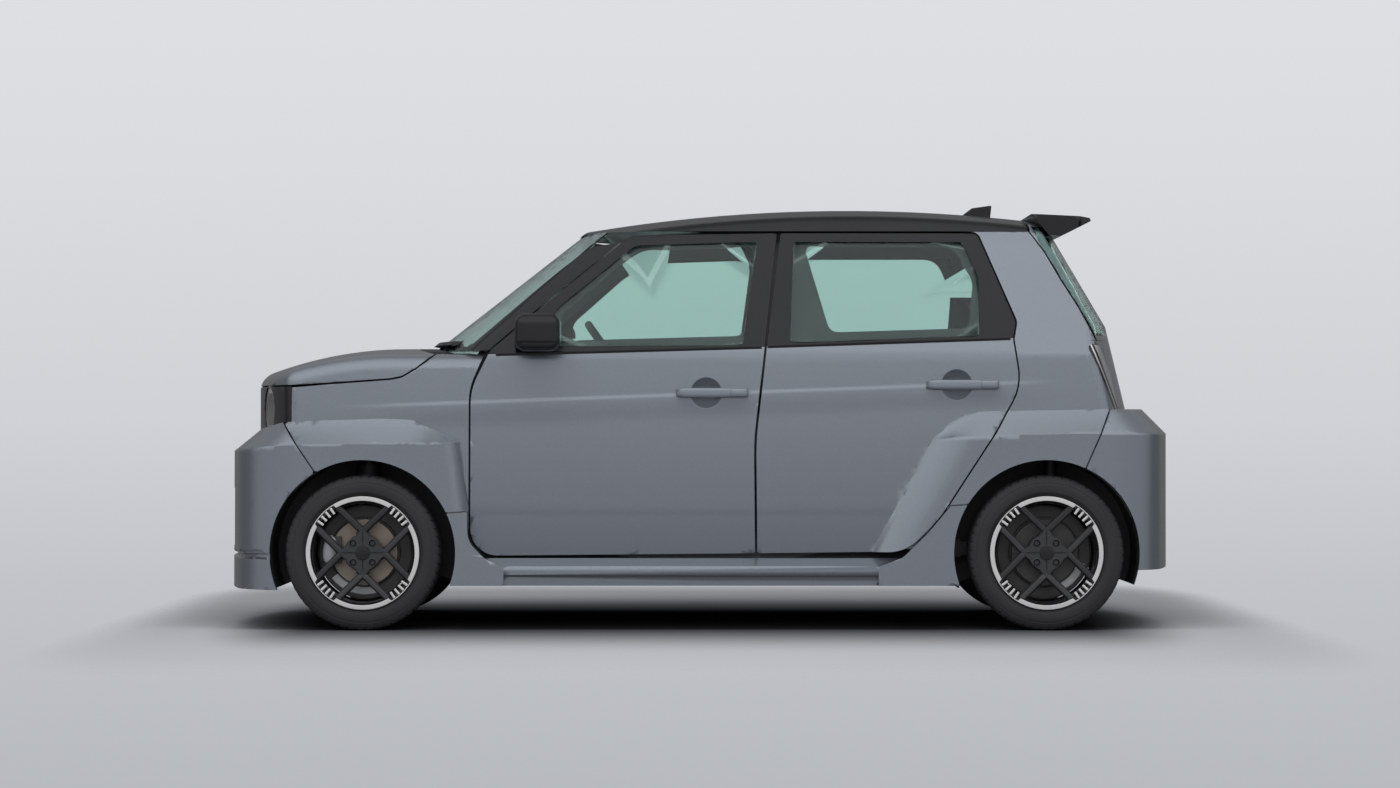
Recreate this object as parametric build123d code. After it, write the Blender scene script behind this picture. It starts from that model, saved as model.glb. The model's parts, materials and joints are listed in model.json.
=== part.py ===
from build123d import *
import os
from math import cos, radians, sin, sqrt

# City car: five doors, short nose, upright tail. Nose towards +X, left side +Y, up +Z.
# The origin is on the floor under the middle of the car. All sizes are in millimetres.

os.makedirs("parts", exist_ok=True)

# Overall sizes
wheelbase = 2520.0
front_overhang = 547.0
rear_overhang = 513.0
skin_half_width = 737.0
flare_half_width = 787.0
underside_z = 150.0
belt_z = 1033.0
rail_z = 1481.0
roof_z = 1584.0
bonnet_z = 1050.0

# Places that follow from them
nose_x = (front_overhang + wheelbase + rear_overhang) / 2
tail_x = -nose_x
front = nose_x - front_overhang
rear = front - wheelbase
front_door_length = 1052.0
split = front - 394.0 - front_door_length

# Body side: one arc from the sill to the belt, a shoulder step, then the glass leaning in
side_sweep_radius = 40000.0
side_sweep_angle = 8.0
side_widest_x = -50.0
sill_tuck = 21.0
widest_z = 600.0
belt_tuck = 15.0
shoulder_height = 16.0
glass_belt_y = 706.0
rail_y = 573.0

# Roof, bonnet, windscreen and tail surfaces
roof_arc_radius = 5970.0
roof_crown_radius = 3200.0
roof_peak_x = rear + 717.0
bonnet_arc_radius = 1400.0
bonnet_crown_radius = 7000.0
bonnet_flat_x = front - 113.0
screen_foot_x = front - 204.0
screen_head_x = front - 932.0
screen_top_z = 1600.0
screen_foot_radius = 1350.0
screen_head_radius = 1570.0
nose_panel_x = nose_x - 93.0
nose_radius = 1500.0
tail_foot_x = rear - 533.0
tail_waist_x = rear - 163.0
tail_glass_foot_x = rear - 343.0
tail_glass_head_x = rear - 8.0
tail_radius = 2100.0
rail_roll = 70.0
pillar_roll = 40.0
rear_pillar_roll = 60.0
shoulder_roll = 65.0

# Walls, gaps and clearances
panel_wall = 25.0
door_wall = 65.0
door_lip = 22.0
door_step = 16.0
roof_wall = 40.0
glass_wall = 4.0
glass_depth = 9.0
glass_inset = 5.0
shut_gap = 6.0
seat_gap = 0.3
frame_gap = 6.0
frame_wall = 28.0
frame_lap = 40.0
floor_half = 562.0
sill_half = 655.0

# Lamps, bonnet edge, tailgate, handles and steering wheel
lamp_y = 470.0
lamp_z = 815.0
lamp_radius = 86.0
lens_depth = 6.0
bonnet_rear_x = front - 153.0
bonnet_rear_radius = 2053.0
wing_end_x = front + 268.0
wing_inner_y = 500.0
tailgate_half = 543.0
tailgate_wall = 50.0
handle_bowl_radius = 59.0
wheel_hand_y = -340.0
steering_hub = (front - 877.0, wheel_hand_y, 991.0)
steering_axis = (-0.82, 0.0, 0.57)
column_length = 240.0

# Wide parts: bumpers, arch flares and skirts
front_shelf_z = 688.0
rear_shelf_z = 724.0
shelf_foot_z = 728.0
shelf_rise = 92.0
shelf_step_x = 92.0
shelf_step_y = 64.0
bumper_radius = 2600.0
intake_half_width = 420.0
intake_low_z = 300.0
intake_high_z = 520.0
groove_depth = 14.0
front_corner_roll = 250.0
rear_corner_roll = 200.0
bumper_wall = 34.0
arch_radius = 343.0

# Number-plate fixing holes
plate_hole_radius = 3.5
plate_hole_spacing = 210.0
front_plate_z = 600.0
rear_plate_z = 920.0

# Wheels, brakes and steering
tyre_radius = 286.0
tyre_width = 185.0
rim_radius = 209.0
rim_barrel_radius = 190.0
rim_wall = 8.0
stub_end_y = 708.0
wheel_y = 677.0
rim_face_y = 757.0
spoke_depth = 20.0
spoke_angle = 28.0
spoke_inner_radius = 90.0
window_outer_radius = 176.0
hub_radius = 70.0
disc_radius = 120.0
disc_y = 662.0
disc_thickness = 20.0
bolt_circle = 100.0
bolt_hole_radius = 6.5
steer_y = 632.0
strut_y = 490.0
liner_radius = 352.0
stub_radius = 16.0
subframe_top_z = 246.0
ball_joint_radius = 14.0
arm_top_z = 206.0
bracket_foot_z = 396.0
stub_clearance = 0.3


def outline(rows):
    """A closed side-view area from rows of x, z and corner radius."""
    path = FilletPolyline(*[(x, 0, z) for x, z, r in rows], radius=[r for x, z, r in rows], close=True)
    return make_face(path)


def across(area, low, high):
    """The side-view area carried across the car from y = low to y = high."""
    return Pos(0, low, 0) * extrude(area, high - low, dir=(0, 1, 0))


def slab(x_low, x_high, y_low, y_high, z_low, z_high):
    """A plain block between two corners."""
    middle = Pos((x_low + x_high) / 2, (y_low + y_high) / 2, (z_low + z_high) / 2)
    return middle * Box(x_high - x_low, y_high - y_low, z_high - z_low)


def rod(start, end, radius):
    """A round bar between two points."""
    line = Vector(end) - Vector(start)
    plane = Plane(origin=start, z_dir=line)
    return extrude(plane * Circle(radius), line.length)


def both(piece):
    """A piece of the left side and its mirror image."""
    return [piece, mirror(piece, about=Plane.XZ)]


def fuse(pieces):
    """One shape out of a list of pieces."""
    whole = pieces[0]
    for piece in pieces[1:]:
        whole = whole + piece
    return whole


def save(name, shape):
    """Write one node's solids."""
    shape.label = name
    export_step(shape, f"parts/{name}.step")


def side_block(inset=0.0, stepped=True):
    """Everything between the two body sides, each a section swept along a wide arc in plan."""
    low_z = underside_z - 30
    high_z = roof_z + 60
    shoulder_z = belt_z - shoulder_height
    x = side_widest_x
    foot = (x, skin_half_width - sill_tuck - inset, low_z)
    widest = (x, skin_half_width - inset, widest_z)
    belt = (x, skin_half_width - belt_tuck - inset, shoulder_z)
    ledge = (x, glass_belt_y - inset, belt_z) if stepped else belt
    lean = (ledge[1] + inset - rail_y) / (rail_z - ledge[2])
    head = (x, ledge[1] - lean * (high_z - ledge[2]), high_z)
    far = -skin_half_width - 200
    path = ThreePointArc(foot, widest, belt)
    if stepped:
        path += Line(belt, ledge)
    path += Polyline(ledge, head, (x, far, high_z), (x, far, low_z), foot)
    axis = Axis((x, skin_half_width - side_sweep_radius, 0), (0, 0, 1))
    left = revolve(make_face(path), axis, side_sweep_angle).rotate(axis, -side_sweep_angle / 2)
    return left & mirror(left, about=Plane.XZ)


def bowed_area(x, z, radius, back_x):
    """A plan area at height z with a bowed end at x and a straight end at back_x."""
    half = skin_half_width + 120
    towards = 1 if x > back_x else -1
    drop = radius - sqrt(radius ** 2 - half ** 2)
    corner = x - towards * drop
    path = ThreePointArc((corner, -half, z), (x, 0, z), (corner, half, z))
    path += Polyline((corner, half, z), (back_x, half, z), (back_x, -half, z), (corner, -half, z))
    return make_face(path)


def roof_block(inset=0.0):
    """Everything under the roof: an arc along the car, crowned across it."""
    high = roof_z - inset
    rows = []
    for x in (nose_x, roof_peak_x, tail_x - 300):
        rows.append((x, 0, high - roof_arc_radius + sqrt(roof_arc_radius ** 2 - (x - roof_peak_x) ** 2)))
    path = ThreePointArc(*rows)
    low = underside_z - 30
    path += Polyline(rows[2], (rows[2][0], 0, low), (rows[0][0], 0, low), rows[0])
    axis = Axis((0, 0, roof_z - roof_crown_radius), (1, 0, 0))
    return revolve(make_face(path), axis, 60).rotate(axis, -30)


def bonnet_block(inset=0.0):
    """Everything under the bonnet surface, flat behind and falling in an arc to the nose."""
    high = bonnet_z - inset
    rows = []
    for x in (nose_x + 10, (nose_x + bonnet_flat_x) / 2, bonnet_flat_x):
        rows.append((x, 0, high - bonnet_arc_radius + sqrt(bonnet_arc_radius ** 2 - (x - bonnet_flat_x) ** 2)))
    path = ThreePointArc(*rows)
    low = underside_z - 20
    path += Polyline(rows[2], (tail_x - 300, 0, high), (tail_x - 300, 0, low), (nose_x + 10, 0, low), rows[0])
    axis = Axis((0, 0, bonnet_z - bonnet_crown_radius), (1, 0, 0))
    return revolve(make_face(path), axis, 18).rotate(axis, -9)


def screen_block(inset=0.0):
    """Everything behind the windscreen surface."""
    shift = inset * 1.6
    foot = bowed_area(screen_foot_x - shift, belt_z, screen_foot_radius, tail_x - 900)
    head = bowed_area(screen_head_x - shift, screen_top_z, screen_head_radius, tail_x - 900)
    return loft([foot, head], ruled=True)


def tail_blocks(inset=0.0):
    """Everything ahead of the tail: a steep lower face and a slanted glass face."""
    low = bowed_area(tail_foot_x + inset, underside_z - 50, tail_radius, nose_x + 900)
    high = bowed_area(tail_waist_x + inset, roof_z + 56, tail_radius, nose_x + 900)
    fall = (tail_glass_head_x - tail_glass_foot_x) / (screen_top_z - belt_z) * (belt_z - underside_z + 50)
    glass_low = bowed_area(tail_glass_foot_x - fall + 1.16 * inset, underside_z - 50, tail_radius, nose_x + 900)
    glass_high = bowed_area(tail_glass_head_x + 1.16 * inset, screen_top_z, tail_radius, nose_x + 900)
    return loft([low, high], ruled=True), loft([glass_low, glass_high], ruled=True)


def rolled(block, radius, keep):
    """Roll over the edges that the test picks."""
    return fillet([edge for edge in block.edges() if keep(edge.center(), edge.length)], radius)


def upper_body(inset=0.0):
    """The glasshouse as a solid, with its rails and pillars rolled."""
    lower_tail, glass_tail = tail_blocks(inset)
    high = slab(tail_x - 200, nose_x, -900, 900, belt_z, roof_z + 50)
    block = side_block(inset) & roof_block(inset) & screen_block(inset) & lower_tail & glass_tail & high
    block = rolled(block, rail_roll - inset / 2, lambda c, l: abs(c.Y) > 400 and c.Z > rail_z - inset and l > 900)
    block = rolled(block, pillar_roll - inset / 2,
                   lambda c, l: abs(c.Y) > 400 and belt_z + 60 < c.Z < rail_z and c.X > 0 and l > 200)
    return rolled(block, rear_pillar_roll - inset / 2,
                  lambda c, l: abs(c.Y) > 400 and belt_z + 30 < c.Z < rail_z and c.X < rear and l > 60)


def lower_body(inset=0.0):
    """The body below the belt as a solid, with the bonnet's shoulders and nose rolled."""
    lower_tail, glass_tail = tail_blocks(inset)
    nose = bowed_area(nose_panel_x - inset, underside_z - 40, nose_radius, tail_x - 900)
    block = side_block(inset) & bonnet_block(inset) & extrude(nose, bonnet_z) & lower_tail
    return rolled(block, shoulder_roll - inset / 2,
                  lambda c, l: (c.X > front - 200 and c.Z > 900 and abs(c.Y) > 500)
                  or (c.X > front + 200 and c.Z > underside_z + 50))


def tail_body(inset=0.0):
    """The tail from the floor to the roof as a solid, with its corners rolled."""
    lower_tail, glass_tail = tail_blocks(inset)
    high = slab(tail_x - 200, nose_x, -900, 900, underside_z, roof_z + 50)
    block = side_block(inset, stepped=False) & roof_block(inset) & lower_tail & glass_tail & high
    block = rolled(block, rail_roll - inset / 2, lambda c, l: abs(c.Y) > 400 and c.Z > rail_z - 40 - inset and l > 900)
    return rolled(block, rear_pillar_roll - inset / 2,
                  lambda c, l: abs(c.Y) > 400 and c.X < rear and underside_z + 50 < c.Z < rail_z and l > 60)


def wide_block(levels, inset=0.0):
    """The outline over bumpers and flares. Columns of levels: z, x step, y step, nose tilt in degrees."""
    areas = []
    for z, step_x, step_y, tilt in levels:
        half = flare_half_width - inset - step_y
        reach = nose_x - inset - step_x
        side = reach - bumper_radius + sqrt(bumper_radius ** 2 - half ** 2)
        path = ThreePointArc((side, -half, z), (reach, 0, z), (side, half, z))
        path += Line((side, half, z), (-side, half, z))
        path += ThreePointArc((-side, half, z), (-reach, 0, z), (-side, -half, z))
        path += Line((-side, -half, z), (side, -half, z))
        area = make_face(path)
        for sign, roll in ((1, front_corner_roll), (-1, rear_corner_roll)):
            corners = [v for v in area.vertices() if abs(v.X - sign * side) < 1 and abs(abs(v.Y) - half) < 1]
            area = fillet(corners, roll - inset / 2 - step_y / 2)
        areas.append(area.rotate(Axis((front + 250, 0, z), (0, 1, 0)), tilt))
    return loft(areas, ruled=True)


# Side-view outlines. Columns: x, z, corner radius
front_door_rows = [
    (front - 468, belt_z + 1, 20),
    (front - 396, 890, 230),
    (front - 394, 274, 100),
    (split, 284, 10),
    (split + 4, 700, 900),
    (split - 35, belt_z + 5, 300),
    (split - 83, rail_z - 8, 8),
    (front - 985, rail_z - 17, 60),
    (front - 668, 1206, 500),
]
rear_door_rows = [
    (split - 5, 700, 900),
    (split - 9, 284, 10),
    (rear + 520, 290, 160),
    (rear + 400, 410, 400),
    (rear + 175, 755, 120),
    (rear + 92, 900, 200),
    (rear + 118, 1075, 60),
    (rear + 105, 1140, 40),
    (rear + 243, rail_z - 8, 30),
    (split - 98, rail_z - 8, 8),
    (split - 44, belt_z + 5, 300),
]
front_window_rows = [
    (split + 46, belt_z + 20, 14),
    (split - 12, rail_z - 40, 14),
    (front - 1000, rail_z - 54, 60),
    (front - 690, 1172, 200),
    (front - 660, belt_z + 16, 20),
]
rear_window_rows = [
    (split - 130, belt_z + 30, 14),
    (split - 146, rail_z - 40, 14),
    (rear + 300, rail_z - 40, 14),
    (rear + 240, 1308, 60),
    (rear + 240, belt_z + 56, 14),
]
# The line between bonnet and wing, from the lamp to the windscreen
bonnet_line = [
    (wing_end_x, 899, 4),
    (front + 138, 910, 60),
    (front - 98, 927, 60),
    (front - 139, 935, 40),
    (front - 191, 965, 60),
    (front - 276, 1029, 4),
]
# The front edge of the tailgate on the body side, from the roof down to the lamp
tail_line = [
    (rear + 49, rail_z - 1, 0),
    (rear - 10, 1397, 60),
    (rear - 63, 1301, 60),
    (rear - 130, 1191, 60),
    (rear - 192, 1072, 0),
]
lamp_rows = [
    (rear - 150, 1064, 14),
    (rear - 256, 1040, 20),
    (rear - 340, 1040, 2),
    (rear - 420, 794, 2),
    (rear - 328, 794, 4),
    (rear - 272, 802, 20),
    (rear - 252, 835, 60),
    (rear - 196, 978, 30),
]
front_flare_rows = [
    (front + 295, 766, 4), (front + 265, 771, 10), (front - 64, 781, 60), (front - 175, 778, 60),
    (front - 357, 700, 30), (front - 391, 442, 6), (front - 300, 436, 4), (front + 175, 590, 4),
]
rear_flare_rows = [
    (rear + 640, 293, 4), (rear + 416, 705, 30), (rear + 320, 790, 90), (rear + 240, 808, 200),
    (rear - 236, 816, 4), (rear - 140, 600, 4), (rear + 200, 560, 4), (rear + 290, 468, 4),
    (rear + 370, 463, 4), (rear + 520, 296, 4),
]


# Door handles: x and z of the bowl's middle
front_handle = (split + 180, 876)
rear_handle = (rear + 328, 906)


def door(rows, window, flare=None):
    """A door: outer lip, stepped inner body and a window opening, with its part of the flare."""
    area = outline(rows)
    inner = offset(area, amount=-door_step, kind=Kind.INTERSECTION)
    panel = (capped_side - side_lip) & across(area, 300, 900)
    panel += (side_lip - side_door) & across(inner, 300, 900)
    if flare is not None:
        panel += flare & across(area, 300, 900)
    return panel - across(outline(window), 300, 900)


def door_glass(window):
    """A pane that sits in its opening."""
    area = offset(outline(window), amount=-seat_gap, kind=Kind.INTERSECTION)
    return (side_block(glass_depth) - side_block(glass_depth + glass_wall)) & across(area, 300, 900)


def skin_y(x, z):
    """How far out the left body side is at a place below the belt."""
    rise = (z - widest_z) / (belt_z - shoulder_height - widest_z)
    return skin_half_width - belt_tuck * rise ** 2 - (x - side_widest_x) ** 2 / (2 * side_sweep_radius)


def handle(x, z):
    """A pull handle on its lock end and front foot, and the bowl to cut behind the grip."""
    skin = skin_y(x, z)
    bar = slab(x - 92, x + 110, skin + 14, skin + 32, z - 12, z + 14)
    foot = slab(x + 86, x + 110, skin - 12, skin + 20, z - 12, z + 14)
    lock = slab(x - 155, x - 88, skin - 12, skin + 32, z - 12, z + 14)
    bowl = Pos(x, skin - 16, z) * Rot(-90, 0, 0) * Cylinder(
        handle_bowl_radius, 40, align=(Align.CENTER, Align.CENTER, Align.MIN))
    return bar + foot + lock, bowl


def door_with_handle(panel, x, z):
    """Add the handle to a door."""
    grip, bowl = handle(x, z)
    return panel - bowl + grip


def door_mirror():
    """Door mirror: a rounded housing on a short foot at the front corner of the door."""
    housing = Pos(front - 648, 822, 1097) * Box(166, 150, 138)
    housing = fillet(housing.edges(), 40)
    foot = slab(front - 690, front - 560, 660, 780, 1040, 1060)
    return (housing + foot) - body_side_clear


def arch(x, radius, low, high):
    """The cylinder of a wheel arch."""
    return Pos(x, low, tyre_radius) * Rot(-90, 0, 0) * Cylinder(
        radius, high - low, align=(Align.CENTER, Align.CENTER, Align.MIN))


def split_by(shape, plane, inside):
    """The part of a shape on the same side of a plane as the point inside."""
    keep = Keep.TOP if plane.to_local_coords(Vector(*inside)).Z > 0 else Keep.BOTTOM
    return shape.split(plane, keep=keep)


def front_wing():
    """Left wing: the body side ahead of the door, under the bonnet line."""
    rows = [(front - 461, 1060, 4), (front - 389, 890, 230), (front - 387, 300, 4), (front - 200, 300, 4),
            (front - 200, 500, 4), (wing_end_x, 500, 4)]
    rows += [(x, z - 3, r) for x, z, r in bonnet_line] + [(front - 280, 1060, 4)]
    wing = (lower - lower_wall) & across(outline(rows), wing_inner_y, 900)
    frame = across(offset(outline(front_door_rows), amount=frame_lap + seat_gap, kind=Kind.INTERSECTION), 300, sill_half)
    return wing - arches[0] - upper - frame


def bonnet():
    """A clamshell bonnet, its rear edge bowed under the windscreen."""
    rows = [(nose_x + 20, 1100, 0), (nose_x + 20, 906, 0), (front + 274, 906, 0)]
    rows += [(x, z + 4, r) for x, z, r in bonnet_line[1:-1]] + [(front - 274, 1034, 4), (front - 274, 1100, 0)]
    behind = extrude(bowed_area(bonnet_rear_x, 800, bonnet_rear_radius, tail_x - 900), 400)
    return ((lower - lower_wall) & across(outline(rows), -900, 900)) - behind


def cowl():
    """The panel between bonnet and windscreen, with the firewall's top flange."""
    cowl_half = wing_inner_y - seat_gap
    area = extrude(bowed_area(bonnet_rear_x - shut_gap, 900, bonnet_rear_radius, tail_x - 900), 200)
    top = (lower - lower_wall) & area & slab(front - 470, front, -cowl_half, cowl_half, 960, 1100)
    return top - screen_block()


def nose_panel():
    """The dark band that carries the lamps, with a round hole for each lamp."""
    rows = [(nose_x + 5, shelf_foot_z, 0), (nose_x + 5, 900, 0), (wing_end_x + seat_gap, 900, 0),
            (wing_end_x + seat_gap, shelf_foot_z, 0)]
    panel = (lower - lower_wall) & across(outline(rows), -900, 900)
    for side in (1, -1):
        panel -= lamp_cylinder(side, lamp_radius)
        low, high = sorted((side * 200, side * 240))
        panel += (lower_body(4) - lower_wall) & slab(front, nose_x, low, high, 890, 906 - seat_gap)
    return panel


def lamp_cylinder(side, radius):
    """A cylinder along the car at one headlamp."""
    return Pos(front + 260, side * lamp_y, lamp_z) * Rot(0, 90, 0) * Cylinder(
        radius, 300, align=(Align.CENTER, Align.CENTER, Align.MIN))


def headlamps():
    """Two round lamps, each a barrel with its lens just inside the panel's surface."""
    limit = lower_body(lens_depth)
    return [lamp_cylinder(side, lamp_radius - seat_gap) & limit for side in (1, -1)]


def front_bumper():
    """Front bumper: the wide outline hollowed, with intake, lip groove and air slots."""
    rows = [(front + 301, 900, 0), (front + 301, 766, 0), (front + 181, 590, 0), (front + 200, 100, 0),
            (nose_x + 10, 100, 0), (nose_x + 10, 900, 0)]
    bumper = (front_wide - front_wide_inner) & across(outline(rows), -900, 900)
    bumper = bumper - lower - arches[0] - mirror(arches[0], about=Plane.XZ)
    bumper -= slab(nose_x - 200, nose_x + 10, -intake_half_width, intake_half_width, intake_low_z, intake_high_z)
    bumper -= (front_wide - wide_block(front_levels, groove_depth)) & slab(front, nose_x, -900, 900, 262, 284)
    return bumper - plate_holes(nose_x - 100, front_plate_z)


def plate_holes(x, z):
    """Two holes along the car for a number plate."""
    holes = [rod((x, y, z), (x + 200, y, z), plate_hole_radius) for y in (-plate_hole_spacing / 2, plate_hole_spacing / 2)]
    return fuse(holes)


def grille():
    """Bars across the bumper's intake."""
    half = intake_half_width - seat_gap
    bars = []
    for row in range(4):
        z = intake_low_z + 30 + 48 * row
        bars.append(slab(nose_x - 400, nose_x, -half, half, z, z + 18))
    for y in (-240, 0, 240):
        bars.append(slab(nose_x - 400, nose_x, y - 8, y + 8, intake_low_z + seat_gap, intake_high_z - seat_gap))
    return (wide_block(front_levels, 10) - wide_block(front_levels, 26)) & fuse(bars)


def rear_bumper():
    """Rear bumper: the wide outline hollowed."""
    rows = [(rear - 242, 900, 0), (rear - 242, 816, 0), (rear - 146, 600, 0), (rear - 200, 223, 0),
            (tail_x - 10, 223, 0), (tail_x - 10, 900, 0)]
    bumper = (rear_wide - rear_wide_inner) & across(outline(rows), -900, 900)
    return bumper - tail - arches[1] - mirror(arches[1], about=Plane.XZ)


def quarter():
    """Left rear quarter: from the rear door's edge over the arch to the lamp, and up to the roof."""
    rows = [(rear + 560, 300, 0), (rear + 560, rail_z - 3, 0)]
    rows += tail_line
    rows += [(rear - 154, 1070, 0), (rear - 480, 1070, 0), (rear - 480, 500, 0), (rear - 100, 300, 0)]
    wall = (tail - tail_wall) & across(outline(rows), tailgate_half + shut_gap, 900)
    wall -= across(offset(outline(rear_door_rows), amount=shut_gap), 300, 900)
    wall -= across(offset(outline(lamp_rows), amount=seat_gap), 300, 900)
    liner = arch(rear, liner_radius + 5 + seat_gap, 400, sill_half + seat_gap)
    return wall - arches[1] - liner


def tail_lamp():
    """Left tail lamp, wrapping round the corner of the body."""
    return (tail - tail_body(45)) & across(outline(lamp_rows), tailgate_half + shut_gap, 900)


def tailgate():
    """Tailgate with a glass-clad upper half and a window opening, and its pane."""
    upper_rows = [(x - shut_gap, z, r) for x, z, r in tail_line]
    upper_rows += [(tail_x, 1076, 0), (tail_x, 1700, 0), (rear + 43, 1700, 0)]
    high = across(outline(upper_rows), -900, 900)
    low = slab(tail_x - 50, rear - 160, -tailgate_half, tailgate_half, 756, 1076)
    wall = tail - tail_body(tailgate_wall)
    glass_area = across(outline([(rear + 36, 1500, 0), (tail_x, 1500, 0), (tail_x, 1090, 0),
                                 (rear - 150, 1090, 0)]), -900, 900)
    glass = (tail - tail_body(5)) & high & glass_area
    panel = (wall & (high + low)) - ((tail - tail_body(5 + seat_gap)) & glass_area)
    hole = extrude(make_face(FilletPolyline((-2500, -520, 1120), (-2500, 520, 1120), (-2500, 440, 1430),
                                            (-2500, -440, 1430), radius=40, close=True)), 2400, dir=(1, 0, 0))
    return panel - hole - plate_holes(tail_x, rear_plate_z), glass


def spoiler():
    """Roof spoiler on the tailgate's upper edge: a wing section across the car with cut-off ends."""
    rows = [(rear + 36, 1548, 0), (rear - 198, 1540, 4), (rear - 203, 1529, 4), (rear - 74, 1466, 30),
            (rear - 30, 1470, 0)]
    plan = make_face(FilletPolyline((rear + 40, -545, 1300), (rear + 40, 545, 1300), (rear - 150, 500, 1300),
                                    (rear - 205, 380, 1300), (rear - 205, -380, 1300), (rear - 150, -500, 1300),
                                    radius=30, close=True))
    return (across(outline(rows), -600, 600) & extrude(plan, 400)) - tail_proud


def antenna_fin():
    """Shark-fin aerial on the roof."""
    rows = [(rear + 272, 1560, 0), (rear + 222, 1598, 20), (rear + 145, 1609, 4), (rear + 150, 1560, 0)]
    fin = across(outline(rows), -16, 16) - upper
    return fin


def skirt():
    """Left side skirt: a sill cover with ends that rise behind the doors to meet the flares."""
    inner = sill_half + seat_gap
    section = Polyline((0, inner, 266), (0, 722, 266), (0, 775, 236), (0, 775, 206), (0, 766, 198), (0, 764, 166),
                       (0, inner, 166), (0, inner, 266))
    bar = Pos(rear + 330, 0, 0) * extrude(make_face(section), wheelbase - 660, dir=(1, 0, 0))
    front_rows = [(front - 300, 166, 0), (front - 300, 431, 0), (front - 386, 437, 0), (front - 388, 330, 90),
                  (front - 450, 266, 30), (front - 520, 236, 0), (front - 520, 166, 0)]
    rear_rows = [(rear + 300, 166, 0), (rear + 290, 463, 0), (rear + 356, 458, 0), (rear + 436, 362, 200),
                 (rear + 530, 270, 60), (rear + 620, 236, 0), (rear + 620, 166, 0)]
    ends = (front_wide & across(outline(front_rows), 668, 900)) + (rear_wide & across(outline(rear_rows), 668, 900))
    liner = arch(front, liner_radius + 5 + seat_gap, 600, 705)
    return (bar + (ends - body_side_clear)) - arches[0] - arches[1] - liner


def side_frame():
    """Left door frame: a ring round each door opening on a box-section sill."""
    plate = side_block(door_wall + frame_gap) - side_block(door_wall + frame_gap + frame_wall)
    openings = [outline(front_door_rows), outline(rear_door_rows)]
    ring = fuse([plate & across(offset(area, amount=frame_lap, kind=Kind.INTERSECTION), 300, 700) for area in openings])
    for area in openings:
        ring -= across(offset(area, amount=-45, kind=Kind.INTERSECTION), 300, 900)
    ring &= slab(tail_x, nose_x, 300, sill_half, 244, roof_z)
    pads = side_block(door_wall + seat_gap) - side_block(door_wall + frame_gap + 10)
    for x in (front - 440, split - 44):
        for z in (420, 860):
            ring += pads & slab(x, x + 26, 300, 900, z, z + 60)
    low = ring & slab(tail_x, nose_x, 0, 900, 244, belt_z)
    high = ring & upper_body(roof_wall + seat_gap)
    sill = slab(rear + 372, front - 366, floor_half + seat_gap, sill_half, 176, 262)
    return (sill + low + high) - arches[1]


def screen_edge(gap):
    """The windscreen's outline seen from the front, carried along the car."""
    rows = [(0, -644 - gap, 1046), (0, 644 + gap, 1046), (0, 577 + gap, rail_z - 3 + gap),
            (0, -577 - gap, rail_z - 3 + gap)]
    return extrude(make_face(FilletPolyline(*rows, radius=6, close=True)), nose_x, dir=(1, 0, 0))


def windscreen():
    """The curved windscreen pane between the pillars."""
    pane = screen_block(glass_inset) - screen_block(glass_inset + glass_wall + 1)
    return pane & screen_edge(0)


def front_pillar():
    """Left windscreen pillar."""
    rows = [(front - 1000, belt_z + seat_gap, 0), (front + 50, belt_z + seat_gap, 0), (front + 50, rail_z, 0),
            (front - 1000, rail_z, 0)]
    pillar = (upper - upper_wall) & across(outline(rows), 550, 900)
    pillar -= across(offset(outline(front_door_rows), amount=shut_gap), 300, 900)
    return pillar - screen_edge(seat_gap)


def roof():
    """Roof panel with its lining, from the windscreen to the tailgate."""
    rows = [(rear + 51, rail_z + seat_gap, 0), (rear + 51, 1700, 0), (front, 1700, 0), (front, rail_z + seat_gap, 0)]
    panel = (upper - upper_wall) & across(outline(rows), -900, 900)
    for y in (-260, 200):
        panel += slab(rear + 43 + seat_gap, rear + 60, y, y + 60, 1506, 1528)
    return panel


def wheelhouse(x, inner_y, outer_y, low_z):
    """A half-barrel liner over a wheel with a flat inner wall."""
    shell = arch(x, liner_radius + 5, inner_y - 5, outer_y) - arch(x, liner_radius, inner_y, outer_y + 10)
    return shell & slab(x - 400, x + 400, 0, 900, low_z, 700)


def front_structure():
    """Firewall, rails, strut towers, wheelhouse liners and the frame behind the nose."""
    pieces = [slab(front - 443, front - 420, -600, 600, 291, 985)]
    for side in (1, -1):
        low, high = sorted((side * 335, side * 395))
        pieces.append(slab(front - 430, front + 370, low, high, 470, 560))
        liner = wheelhouse(front, 430, 720, 215)
        tower = slab(front - 90, front + 90, 380, 600, 640, 700) + slab(front - 90, front + 90, 380, 426, 540, 700)
        corner = liner + tower
        pieces.append(corner if side == 1 else mirror(corner, about=Plane.XZ))
    pieces.append(slab(front + 340, front + 372, -378, 378, 300, 860) - slab(front, nose_x, -336, 336, 340, 820))
    pieces.append(slab(front + 370, front + 420, -450, 450, 590, 680))
    return fuse(pieces) & lower_body(panel_wall + seat_gap)


def floor():
    """Floor pan, boot floor, rear wheelhouses and the panel behind the bumper."""
    tail_half = tailgate_half + shut_gap - seat_gap
    pieces = [slab(rear + 372, front - 443, -floor_half, floor_half, 270, 290)]
    pieces.append(slab(rear + 352, rear + 382, -424, 424, 270, 420))
    pieces.append(slab(rear - 400, rear + 360, -424, 424, 400, 420))
    pieces.append(slab(rear - 400, rear - 360, -tail_half, tail_half, 400, 420))
    pieces.append(slab(rear - 400, rear - 384, -tail_half, tail_half, 300, 745))
    for side in (1, -1):
        liner = wheelhouse(rear, 428, sill_half, 345)
        pieces.append(liner if side == 1 else mirror(liner, about=Plane.XZ))
    return fuse(pieces)


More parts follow.
